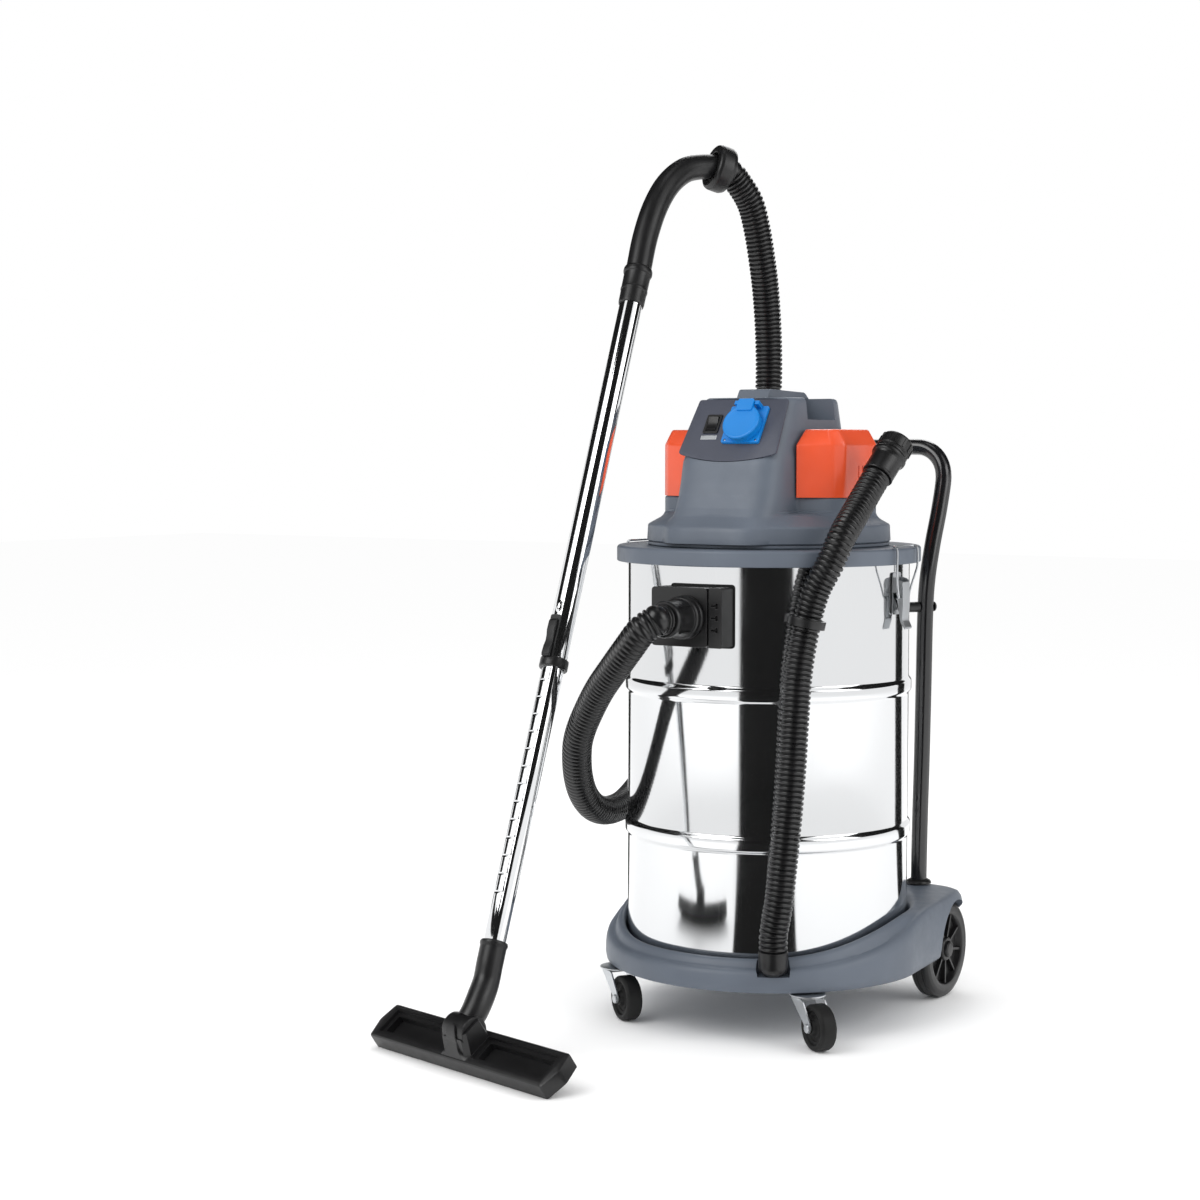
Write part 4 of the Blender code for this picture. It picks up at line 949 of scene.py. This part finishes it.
def ledge_reach(angle, outline):
    """Distance to the straight-sided ledge that carries a side cover."""
    ahead = Vector((cos(angle), sin(angle)))
    best = 0.0
    for one, two in zip(outline, outline[1:]):
        one, two = Vector(one), Vector(two)
        edge = two - one
        cross = ahead.x * edge.y - ahead.y * edge.x
        if abs(cross) < 1e-9:
            continue
        reach = (one.x * edge.y - one.y * edge.x) / cross
        share = (one.x * ahead.y - one.y * ahead.x) / cross
        if reach > 0 and -0.001 <= share <= 1.001:
            best = max(best, reach)
    return best


def head_reach(angle, z, ledge):
    """Distance to the head's skin: tower, ledges and skirt, filleted into each other."""
    skirt = mixed(SKIRT, z)
    reach = tower_reach(angle, z)
    if ledge > 0 and z < 0.7729:
        trim = 0.0025 * max(0.0, (z - 0.77) / 0.0029) ** 2
        reach = blend_max(reach, ledge - trim, 0.006)
    if skirt > 0.1:
        reach = blend_max(reach, skirt, 0.016)
    elif z < 0.768:
        fade = blend_max(reach, 0.14, 0.016) if z < 0.7535 else reach
        reach = min(fade, reach + 0.004)
    return reach


def leaning(across, uphill):
    """Rotation that lays X across a slope and Y up it."""
    return Matrix((across, uphill, across.cross(uphill))).transposed()


PANEL_TURN = leaning(Vector((1, 0, 0)), Vector((0, sin(radians(PANEL_TILT)), cos(radians(PANEL_TILT)))))


def switch_hole():
    """Cut for the rocker switch through the panel and the shell under it."""
    return minus(box(*SWITCH_HOLE), PANEL_CENTRE, PANEL_TURN)


def panel_outline(grow=0.0):
    """Straight top and sides with a bowed lower edge, in the panel's own plane."""
    lower = []
    for k in range(17):
        t = k / 16 * 2 - 1
        lower.append((t * (0.0815 + grow), -0.0625 - grow + 0.014 * t * t))
    outline = lower + [(0.0745 + grow, 0.045 + grow), (-0.0745 - grow, 0.045 + grow)]
    return round_corners(outline, 0.004, 4)


def cover_ledges(angles):
    """Distance to the ledges at each angle, with their corners smoothed; 0 where there is no ledge."""
    inward = 0.03
    first, *middle, last = COVER_FOOT
    right = ((first[0] - inward, first[1]), *middle, (last[0] - inward, last[1]))
    left = tuple((-x, y) for x, y in right)
    ledges = [max(ledge_reach(a, right), ledge_reach(a, left)) for a in angles]
    for _ in range(2):
        ledges = [(ledges[k - 1] + 2 * ledge + ledges[(k + 1) % len(ledges)]) / 4 if ledge else 0.0
                  for k, ledge in enumerate(ledges)]
    return ledges


def make_head_shell():
    steps = 288
    angles = [2 * pi * k / steps for k in range(steps)]
    ledges = cover_ledges(angles)
    levels = [HEAD_FLOOR, 0.7078, 0.7085, 0.716, 0.724]
    levels += [0.729 + 0.001 * k for k in range(30)]
    levels += [0.76, 0.764, 0.768, 0.77, 0.771, 0.7718, 0.7724, 0.7728, 0.77295, 0.776]
    levels += [0.78 + 0.005 * k for k in range(26)]
    levels += [0.908, 0.912, 0.9145, 0.916, 0.9172, HEAD_TOP]
    shell = lofted([polar_loop(angles, [head_reach(a, z, ledge) for a, ledge in zip(angles, ledges)], z)
                    for z in levels])
    skirt_room = lofted([polar_loop(angles, [reach] * steps, z) for z,
                         reach in ((0.7, 0.177), (0.73, 0.176))])
    tower_room = lofted([polar_loop(angles, [0.93 * tower_reach(a, z) for a in angles], z)
                         for z in (0.7299, 0.776, 0.83, 0.879)])
    recess = lofted([[(x, y, z) for x, y in panel_outline(grow)]
                     for grow, z in ((0.001, -0.0036), (0.0014, -0.0003), (0.024, 0.04))])
    groove = ((-0.1, -0.03, FINGER_FLOOR), (0.1, 0.058, 0.94))
    well = cylinder(0.0245, -0.03, 0.01, 48)
    cuts = (minus(skirt_room), minus(tower_room), minus(recess, PANEL_CENTRE, PANEL_TURN),
            minus(box(*groove)), minus(well, PANEL_CENTRE + PANEL_TURN @ SOCKET_SPOT, PANEL_TURN),
            switch_hole())
    piece("head_moulding", shell, SLATE, hides=("head_cover",), sharp=38.0, cuts=cuts)


def make_head_ring():
    ring = softened(((RING_RADIUS - 0.001, RING_BOTTOM), (RING_RADIUS, RING_BOTTOM + 0.001),
                     (RING_RADIUS, RING_TOP - 0.0028), (RING_RADIUS - 0.0028, RING_TOP), (0.165, RING_TOP),
                     (0.165, 0.665), (0.168, 0.665), (0.168, 0.693), (0.2235, 0.693), (0.2235, RING_BOTTOM)),
                    0.0016, 4)
    piece("head_rim", turned(ring, 160), SLATE, hides=("head_ring",))
    low, high = RING_TOP + 0.0003, HEAD_FLOOR - 0.0003
    band = softened(((0.174, low), (0.1765, low), (0.1765, 0.7018), (0.1802, 0.702), (0.1802, 0.7056),
                     (0.1765, 0.7058), (0.1765, high), (0.03, high), (0.03, low)), 0.0003)
    piece("bearing_plate", turned(band, 144), SLATE, hides=("motor_plate",))


def make_carry_handle():
    """Bridge over the finger recess, sloped at both ends, with a shallow panel sunk into its top."""
    top = 0.931
    bridge = [(-0.052, HEAD_TOP + 0.0003), (-0.045, top - 0.0015), (-0.041, top), (0.062, top - 0.003),
              (0.067, top - 0.0048), (0.078, HEAD_TOP + 0.0003)]
    panel = minus(box((-0.017, -0.038, top - 0.0022), (0.017, 0.058, top + 0.01)))
    piece("carry_bridge", extruded(bridge, -0.026, 0.026), SLATE, hides=("carry_handle",), turn=SIDE_ON,
          bevel=0.0022, steps=3, cuts=(panel,))


def make_side_cover(side, word):
    """Air outlet cover: chamfered shell with rounded edges and upright slots."""
    # (height, share of the reach from the tower, how far the front edge moves back)
    levels = ((COVER_FLOOR, 1.0, 0.0), (0.7738, 1.0, 0.0), (0.847, 1.0, 0.0), (0.849, 0.997, 0.0006),
              (0.851, 0.985, 0.003), (0.869, 0.825, 0.0255), (0.8708, 0.8, 0.0285), (0.8716, 0.77, 0.032))
    sections = []
    for z, reach, back in levels:
        loop = []
        for x, y in COVER_FOOT:
            deep = max(y, COVER_FRONT_Y + back) if y < 0 else y * (1 - 0.3 * (1 - reach))
            loop.append((side * (COVER_X + (x - COVER_X) * reach), deep))
        loop = round_corners(loop, 0.0045, 5)
        sections.append([(x, y, z) for x, y in (loop if side > 0 else loop[::-1])])
    pocket = sorted((side * 0.08, side * 0.136))
    cuts = [minus(box((pocket[0], -0.05, 0.76), (pocket[1], 0.055, 0.846)))]
    ends = sorted((side * 0.1495, side * 0.16))
    for k in range(4):
        y = -0.0065 + 0.0125 * k
        cuts.append(minus(box((ends[0], y - 0.0013, 0.7865), (ends[1], y + 0.0013, 0.819))))
    piece(f"air_cover_{word}", lofted(sections), ORANGE, hides=(f"side_cover_{word}",), sharp=32.0,
          cuts=cuts)


def make_panel():
    """Control panel with its rocker switch in a frame and a blank plate under it."""
    turn = PANEL_TURN
    spot = PANEL_CENTRE
    plate = lofted([[(x, y, z) for x, y in panel_outline(grow)]
                    for grow, z in ((0.0, -0.003), (0.0, -0.0006), (-0.0008, 0.0))])
    well = minus(cylinder(0.0245, -0.02, 0.02, 56), spot + turn @ SOCKET_SPOT, turn)
    piece("panel_plate", plate, PANEL, hides=("control_panel",), place=spot, turn=turn,
          cuts=(switch_hole(), well))
    frame_outline = round_corners(((-0.0505, -0.015), (-0.0255, -0.015), (-0.0255, 0.017), (-0.0505, 0.017)),
                                  0.0015)
    piece("switch_frame", extruded(frame_outline, 0.0003, 0.0024), BLACK, hides=("switch_bezel",),
          place=spot, turn=turn, bevel=0.0005, cuts=(switch_hole(),))
    rocker = [(-0.01, -0.006), (0.01, -0.006), (0.0108, 0.0052)]
    rocker += [(0.0108 - 0.0216 * k / 8, 0.0052 - 0.0012 * k / 8 - 0.0022 * sin(pi * k / 8))
               for k in range(1, 8)]
    rocker += [(-0.0108, 0.004)]
    piece("rocker_key", extruded(rocker, -0.0084, 0.0084), BLACK, "rocker", ("switch_rocker",),
          spot + turn @ Vector((-0.038, 0.001, 0)), turn @ SIDE_ON, bevel=0.0005)
    strip = round_corners(((-0.0515, -0.0255), (-0.0245, -0.0255), (-0.0245, -0.0185), (-0.0515, -0.0185)),
                          0.0008)
    piece("blank_plate", extruded(strip, 0.0001, 0.0008), ZINC, place=spot, turn=turn, bevel=0.0002)


def make_socket():
    """Accessory socket: flanged cup with two hinge lugs, two screws, contacts and a flap."""
    turn = PANEL_TURN
    middle = PANEL_CENTRE + turn @ SOCKET_SPOT
    screw_spots = [middle + turn @ Vector((x, -0.0235, 0)) for x in (-0.0255, 0.0255)]
    flange = round_corners(((-0.031, -0.028), (0.031, -0.028), (0.031, 0.0345), (-0.031, 0.0345)), 0.003)
    cup = turned(softened(((0, -0.012), (0.0235, -0.012), (0.0235, 0.002), (0.0275, 0.002), (0.0275, 0.0125),
                           (0.0215, 0.0125), (0.0215, -0.01), (0, -0.01)), 0.0006), 72)
    cuts = [minus(cylinder(0.0225, -0.02, 0.02, 56), middle, turn), plus(cup, middle, turn)]
    for low in (-0.02, 0.0135):
        cuts.append(plus(box((low, 0.03, 0.003), (low + 0.0065, 0.036, 0.017)), middle, turn))
    cuts += [minus(cylinder(0.0019, 0.001, 0.01, 20), spot, turn) for spot in screw_spots]
    piece("socket_flange", extruded(flange, 0.0003, 0.0045), BLUE, hides=("socket_base",),
          place=middle, turn=turn, bevel=0.0008, cuts=cuts)
    for k, spot in enumerate(screw_spots):
        screw = softened(((0, 0.0008), (0.0016, 0.0008), (0.0016, 0.0032), (0.001, 0.0036), (0, 0.0036)),
                         0.0003)
        piece(f"socket_screw_{k}", turned(screw, 20), ZINC, place=spot, turn=turn)
    contact = softened(((0, -0.0098), (0.02, -0.0098), (0.02, -0.007), (0, -0.007)), 0.0006)
    piece("socket_insert", turned(contact, 48), BLACK, place=middle, turn=turn)
    lid_spot = middle + turn @ Vector((0, 0, 0.0145))
    lid = turned(softened(((0, -0.0017), (0.029, -0.0017), (0.0292, 0.001), (0.0284, 0.003),
                           (0.0262, 0.0037), (0.0245, 0.0033), (0, 0.0036)), 0.0007, 3), 96)
    tab = round_corners(((-0.0128, 0.018), (0.0128, 0.018), (0.0128, 0.0375), (-0.0128, 0.0375)), 0.003)
    piece("socket_flap", lid, BLUE, "lid", ("socket_lid",), lid_spot, turn,
          cuts=(plus(extruded(tab, -0.0015, 0.0056), lid_spot, turn),))


def make_head_inside():
    foot = HEAD_FLOOR + 0.0003
    motor = ((0, foot), (0.072, foot), (0.072, 0.765), (0.05, 0.772), (0.048, 0.835), (0.02, 0.85),
             (0, 0.85))
    piece("motor_casing", turned(softened(motor, 0.002, 3), 56), ZINC, hides=("motor_unit",))
    pleats, steps = 40, 240
    angles = [2 * pi * k / steps for k in range(steps)]
    loops = []
    for z, outer, depth in ((0.545, 0.092, 0.0), (0.548, 0.0935, 0.0022), (0.69, 0.0938, 0.0022),
                            (RING_TOP, 0.094, 0.0)):
        loops.append(polar_loop(angles, [outer - depth * (0.5 + 0.5 * cos(pleats * a)) for a in angles], z))
    for z, inner in ((RING_TOP, 0.084), (0.555, 0.082)):
        loops.append(polar_loop(angles, [inner] * steps, z))
    piece("pleated_filter", lofted(loops), FELT, hides=("filter_cartridge",))
    cage = softened(((0, 0.59), (0.036, 0.59), (0.036, RING_TOP), (0.032, RING_TOP), (0.032, 0.593),
                     (0, 0.593)))
    cuts = [minus(box((-0.05, -0.0055, 0.605), (0.05, 0.0055, 0.665)), turn=turn_about("Z", 45 * k))
            for k in range(4)]
    piece("float_basket", turned(cage, 48), BLACK, hides=("float_cage",), cuts=cuts)
    radius, steps = 0.024, 24
    ball = [(radius * sin(pi * k / steps), -radius * cos(pi * k / steps)) for k in range(1, steps)]
    ball = [(0, -radius)] + ball + [(0, radius)]
    piece("float_sphere", turned(ball, 48), BLUE, "ball", ("float_ball",), (0, 0, 0.618))


# ---------------------------------------------------------------- wand and floor tool
WAND_DOWN = (WAND_END - WAND_TOP).normalized()
WAND_TURN = aim(WAND_DOWN, FORWARD)


def along_wand(out, distance):
    """A point on the wand's front side, at a distance from its top."""
    return WAND_TOP + WAND_TURN @ Vector((out, 0.0, distance))


def make_grip():
    """Swivel cuff round the hose's end, curved hand grip and stepped adapter."""
    ring = softened(((0.0235, -0.015), (0.032, -0.015), (0.0352, -0.0128), (0.0368, -0.0085), (0.037, 0.0),
                     (0.0368, 0.0085), (0.0352, 0.0128), (0.0335, 0.015), (0.0305, 0.015), (0.03, 0.002),
                     (0.0235, 0.002)), 0.001, 3)
    piece("cuff_ring", turned(ring, 88), BLACK, "cuff", ("swivel_cuff",), CUFF_RING_CENTRE,
          aim(CUFF_RING_AXIS))
    steps = 90
    line = resampled(curve_points(GRIP_ROUTE, 0, 20), steps)
    radii = [0.0195 + 0.0004 * sin(pi * k / steps) for k in range(steps + 1)]
    piece("hand_grip", swept(line, radii, 48), BLACK, hides=("curved_grip",), sharp=60.0)
    adapter = softened(((0.0178, -0.059), (0.0212, -0.059), (0.0222, -0.0565), (0.0225, -0.0515),
                        (0.0217, -0.049), (0.0206, -0.048), (0.0203, -0.024), (0.0209, -0.0225),
                        (0.0209, -0.0195), (0.0201, -0.018), (0.0199, 0.001), (0.0192, 0.004),
                        (0.0178, 0.004)), 0.0005)
    piece("grip_adapter", turned(adapter, 56), BLACK, hides=("wand_adapter",), place=WAND_TOP,
          turn=WAND_TURN)


def make_wand():
    """Outer tube with its bump, locking collar with a release key, and the notched inner tube."""
    outer = ((0.0175, -0.03), (0.0175, 0.584), (0.0172, 0.585), (0.0163, 0.585), (0.0163, -0.03))
    swell = bmesh.new()
    bmesh.ops.create_uvsphere(swell, u_segments=40, v_segments=24, radius=1.0)
    bmesh.ops.scale(swell, vec=(0.005, 0.0062, 0.0105), verts=swell.verts[:])
    piece("outer_tube", turned(outer, 96), CHROME, hides=("wand_outer_tube",), place=WAND_TOP,
          turn=WAND_TURN, cuts=(plus(swell, along_wand(0.0153, 0.508), WAND_TURN),))
    collar = softened(((0.0163, 0.5855), (0.0207, 0.5855), (0.0209, 0.5875), (0.0209, 0.5985), (0.0201, 0.6),
                       (0.0163, 0.6)), 0.0005)
    rail = round_corners(((-0.0085, 0.522), (0.0085, 0.522), (0.0085, 0.592), (-0.0085, 0.592)), 0.003, 4)
    piece("lock_collar", turned(collar, 56), BLACK, hides=("telescope_collar",), place=WAND_TOP,
          turn=WAND_TURN, cuts=(plus(extruded(rail, 0.0178, 0.0205), WAND_TOP, WAND_TURN @ SIDE_ON),))
    key = [(0.53, 0.0208), (0.53, 0.0236), (0.534, 0.0258), (0.548, 0.0264), (0.556, 0.0244), (0.564, 0.024),
           (0.572, 0.0262), (0.584, 0.0275), (0.588, 0.0262), (0.588, 0.0208)]
    piece("slide_key", extruded(key, -0.0065, 0.0065), BLACK, "button", ("telescope_button",), WAND_TOP,
          WAND_TURN @ LENGTH_ON, bevel=0.0008)
    top, bore, radius = 0.45, 0.0128, 0.016
    inner = ((radius, top), (radius, WAND_LENGTH - 0.001), (radius - 0.0004, WAND_LENGTH),
             (bore, WAND_LENGTH), (bore, top))
    crosswise = WAND_TURN @ turn_about("X", 90)
    cuts = [minus(cylinder(0.0024, -0.012, 0.012, 24), along_wand(0.0162, 0.622 + 0.0262 * k), crosswise)
            for k in range(13)]
    piece("inner_tube", turned(inner, 64), CHROME, "lower_wand", ("wand_inner_tube",), WAND_TOP, WAND_TURN,
          cuts=cuts)


def make_tool_turn():
    yaw, pitch = radians(TOOL_YAW), radians(TOOL_PITCH)
    across = Vector((cos(yaw), sin(yaw), 0))
    back = Vector((-sin(yaw), cos(yaw), 0))
    return leaning(across, back * cos(pitch) + Vector((0, 0, 1)) * sin(pitch))


TOOL_TURN = make_tool_turn()


def on_tool(mesh, operation=minus, turn=Matrix.Identity(3)):
    """A cut or an addition drawn in the floor tool's own axes."""
    return operation(mesh, TOOL_FRONT, TOOL_TURN @ turn)


def tool_foot():
    """The long flat body, thinner towards its top edges."""
    half, deep, high = TOOL_HALF, TOOL_DEPTH, TOOL_HEIGHT
    foot = [(-half + 0.002, 0), (half - 0.002, 0), (half + 0.006, deep * 0.5), (half, deep), (-half, deep),
            (-half - 0.006, deep * 0.5)]
    outline = round_corners(foot, 0.004, 4)
    inner = round_corners([(x * 0.984, y * 0.93 + 0.0022) for x, y in foot], 0.004, 4)
    return lofted([[(x, y, 0.0) for x, y in outline], [(x, y, high - 0.0045) for x, y in outline],
                   [(x * 0.9985, y * 0.985 + 0.0005, high - 0.0016) for x, y in outline],
                   [(x, y, high) for x, y in inner]])


def tool_pockets():
    """Two nested pockets in each arm of the foot."""
    cuts = []
    for side, _ in SIDES:
        ends = sorted((side * 0.03, side * (TOOL_HALF - 0.013)))
        for grow, floor in ((0.0, 0.0185), (-0.006, 0.008)):
            low, high = (ends[0] - grow, 0.011 - grow), (ends[1] + grow, 0.052 + grow)
            pocket = round_corners((low, (high[0], low[1]), high, (low[0], high[1])), 0.003, 4)
            cuts.append(on_tool(extruded(pocket, floor, 0.05)))
    return cuts


def tool_housing():
    """Block in the middle that the knuckle sits in."""
    sections = []
    for k in range(9):
        t = k / 8
        wide, front = 0.0285 - 0.0015 * t ** 3, 0.006 + 0.014 * t
        outline = ((-wide, front + 0.006), (-wide + 0.008, front), (wide - 0.008, front),
                   (wide, front + 0.006), (wide, 0.052), (wide - 0.003, 0.0548), (-wide + 0.003, 0.0548),
                   (-wide, 0.052))
        sections.append([(x, y, TOOL_HEIGHT - 0.006 + 0.0355 * t) for x, y in outline])
    return lofted(sections)


def tool_tongue():
    """Flared tongue that climbs from the front edge to the hood."""
    sections = []
    for k in range(19):
        t = k / 18
        wide = 0.011 + 0.026 * (1 - t) ** 3.2
        front, back = 0.0014 + 0.0146 * t, 0.012 + 0.016 * t
        outline = ((-wide, back), (-wide, front + 0.0016), (-wide * 0.93, front), (wide * 0.93, front),
                   (wide, front + 0.0016), (wide, back))
        sections.append([(x, y, TOOL_HEIGHT - 0.004 + 0.0255 * t) for x, y in outline])
    return lofted(sections)


def tool_hood():
    """Narrow strap that the tongue becomes as it bends over the knuckle."""
    sections = []
    for k in range(21):
        t = k / 20
        wide = (0.0112 - 0.0022 * t) * (1 - max(0.0, (t - 0.7) / 0.32) ** 2) ** 0.5
        lean = radians(200 - 86 * t)
        outward = Vector((0, cos(lean), sin(lean)))
        inside, edge, outside = (TOOL_KNUCKLE + outward * reach for reach in (0.0228, 0.0244, 0.0252))
        sections.append([(-wide, *inside.yz), (-wide, *edge.yz), (-wide * 0.9, *outside.yz),
                         (wide * 0.9, *outside.yz), (wide, *edge.yz), (wide, *inside.yz)])
    return lofted(sections)


def make_floor_tool():
    half = TOOL_HALF
    barrel = extruded(arc(TOOL_KNUCKLE.yz, 0.0225, 0, 352.5, 47), -0.0225, 0.0225)
    slot = box((-0.0225, 0.0176, TOOL_KNUCKLE.z), (0.0225, 0.1, 0.1))
    mouth = box((-half + 0.03, 0.02, -0.01), (half - 0.03, 0.034, 0.006))
    cuts = tool_pockets() + [on_tool(tool_housing(), plus), on_tool(tool_tongue(), plus),
                             on_tool(barrel, turn=SIDE_ON), on_tool(slot), on_tool(tool_hood(), plus),
                             on_tool(mouth)]
    piece("tool_body", tool_foot(), BLACK, "tool", ("floor_tool",), TOOL_FRONT, TOOL_TURN, cuts=cuts,
          sharp=32.0)
    low, high = (-half + 0.01, 0.006), (half - 0.01, 0.056)
    outer = round_corners((low, (high[0], low[1]), high, (low[0], high[1])), 0.003)
    opening = on_tool(box((-half + 0.018, 0.01, -0.01), (half - 0.018, 0.052, 0.01)))
    piece("tool_strip", extruded(outer, -0.0033, -0.0003), RUBBER, "tool", ("floor_tool_sole",), TOOL_FRONT,
          TOOL_TURN, cuts=(opening,))


def make_tool_elbow():
    """Neck from the wand's end to the knuckle, with a rim at its top and the knuckle's barrel."""
    hub = TOOL_FRONT + TOOL_TURN @ TOOL_KNUCKLE
    start = WAND_END + WAND_DOWN * 0.0003
    bend = hub + Vector((0.004, 0.022, 0.026))
    route = (start, start + WAND_DOWN * 0.03, start + WAND_DOWN * 0.06, bend, hub + (bend - hub) * 0.45)
    steps = 48
    radii = []
    for k in range(steps + 1):
        t = k / steps
        rim = 0.001 if 0.0 < t < 0.045 else 0.0
        bulge = 0.0008 * max(0.0, sin(pi * (t - 0.45) / 0.55))
        radii.append(0.0188 - 0.0006 * t + rim + bulge)
    line = resampled(curve_points(route, 0, 20), steps)
    knob = softened(((0, -0.0218), (0.022, -0.0218), (0.022, 0.0218), (0, 0.0218)), 0.0015, 3)
    piece("tool_elbow", swept(line, radii, 48), BLACK, "lower_wand", ("tool_neck",), sharp=50.0,
          cuts=(plus(turned(knob, 56), hub, aim(TOOL_TURN.col[0])),))


# ---------------------------------------------------------------- stage and lights
def matte(name, tone, roughness):
    """Grey without any shine."""
    made, _, shader = shader_of(name, (tone, tone, tone), roughness, 0.0)
    shader.inputs["Specular IOR Level"].default_value = 0.0
    return made


def stage_mesh(name, rows, faces, finish, place, outward=None):
    """A mesh of the studio, turned so that its Y points outward."""
    mesh = bpy.data.meshes.new(name)
    mesh.from_pydata(rows, [], faces)
    mesh.materials.append(finish)
    made = bpy.data.objects.new(name, mesh)
    made.location = place
    if outward:
        made.rotation_euler = outward.to_track_quat("Y", "Z").to_euler()
    bpy.context.scene.collection.objects.link(made)
    return made


def make_flag(name, rows, faces, finish, lift, outward):
    """Dark card that only mirrors show; it casts no shadow and no camera sees it."""
    card = stage_mesh(name, rows, faces, finish, AXIS + Vector((0, 0, lift)), outward)
    card.visible_camera = False
    card.visible_diffuse = False
    card.visible_shadow = False
    card.visible_transmission = False


def make_wedge(number, angle, half_angle, finish, toward):
    """Card that lies on the floor as a wedge and stands up at its far end: an upright band in the tank."""
    near, far, height = 0.36, 4.4, 5.0
    spread = tan(radians(half_angle))
    corners = [(near, near * spread, 0.0), (far, far * spread, 0.0), (far, far * spread, height)]
    rows = [(-side, out, up) for out, side, up in corners] + [(side, out, up) for out, side, up in corners]
    outward = Matrix.Rotation(radians(angle), 3, "Z") @ toward
    make_flag(f"flag_{number}", rows, [(0, 3, 4, 1), (1, 4, 5, 2)], finish, 0.0002, outward)


def make_dome(finish, toward):
    """Dark ceiling with two windows, which gives the wand its lines."""
    around, levels, reach = 36, 9, 7.0
    rows, faces = [], []
    for level in range(levels):
        up = radians(17.0 + level * 8.0)
        for k in range(around):
            a = 2 * pi * k / around
            rows.append((reach * cos(up) * sin(a), reach * cos(up) * cos(a), reach * sin(up)))
    for level in range(levels - 1):
        for k in range(around):
            window = (5 <= k <= 7 or 28 <= k <= 31) and 0 < level < 6
            if not window:
                j = (k + 1) % around
                here, above = level * around, (level + 1) * around
                faces.append((here + k, here + j, above + j, above + k))
    make_flag("overhead_flag", rows, faces, finish, 0.0, toward)


def make_stage(toward):
    size = 14.0
    rows = [(-size, -size, 0), (size, -size, 0), (size, size, 0), (-size, size, 0)]
    stage_mesh("floor", rows, [(0, 1, 2, 3)], matte("pale_floor", 0.98, 0.9), (0, 0, -0.0004))
    dark = matte("flag_card", 0.012, 1.0)
    for number, (angle, half_angle) in enumerate(((-1.2, 20.6), (131.0, 7.0), (-157.0, 6.0))):
        make_wedge(number, angle, half_angle, dark, toward)
    make_dome(dark, toward)
    world = bpy.data.worlds.new("studio")
    bpy.context.scene.world = world
    world.use_nodes = True
    back = world.node_tree.nodes["Background"]
    back.inputs["Color"].default_value = (1.0, 1.0, 1.0, 1.0)
    back.inputs["Strength"].default_value = 1.0
    bpy.context.scene.view_settings.view_transform = "Standard"
    for name, angle, distance, height, size, power in (("key", -48.0, 2.6, 2.5, 1.8, 34.0),
                                                       ("fill", 62.0, 2.8, 1.9, 1.8, 20.0),
                                                       ("back", 172.0, 2.6, 2.6, 1.4, 18.0)):
        data = bpy.data.lights.new(name, "AREA")
        data.shape = "SQUARE"
        data.size = size
        data.energy = power
        light = bpy.data.objects.new(name, data)
        outward = Matrix.Rotation(radians(angle), 3, "Z") @ toward
        light.location = AXIS + outward * distance + Vector((0, 0, height))
        aim_at = AXIS + Vector((0, 0, 0.55))
        light.rotation_euler = (aim_at - light.location).to_track_quat("-Z", "Y").to_euler()
        bpy.context.scene.collection.objects.link(light)


# ---------------------------------------------------------------- build
toward_camera = make_camera()
make_hose("suction_tube", SUCTION_ROUTE, SUCTION_RADIUS, 0.0073, 0.0028, "suction_hose",
          far_end="object", lay="hanging")
make_drain()
make_running_gear()
make_push_handle()
make_tank()
make_inlet()
for side_sign, side_word in SIDES:
    make_latch(side_sign, side_word)
make_head_shell()
make_head_ring()
make_carry_handle()
for side_sign, side_word in SIDES:
    make_side_cover(side_sign, side_word)
make_panel()
make_socket()
make_head_inside()
make_grip()
make_wand()
make_floor_tool()
make_tool_elbow()
make_stage(toward_camera)
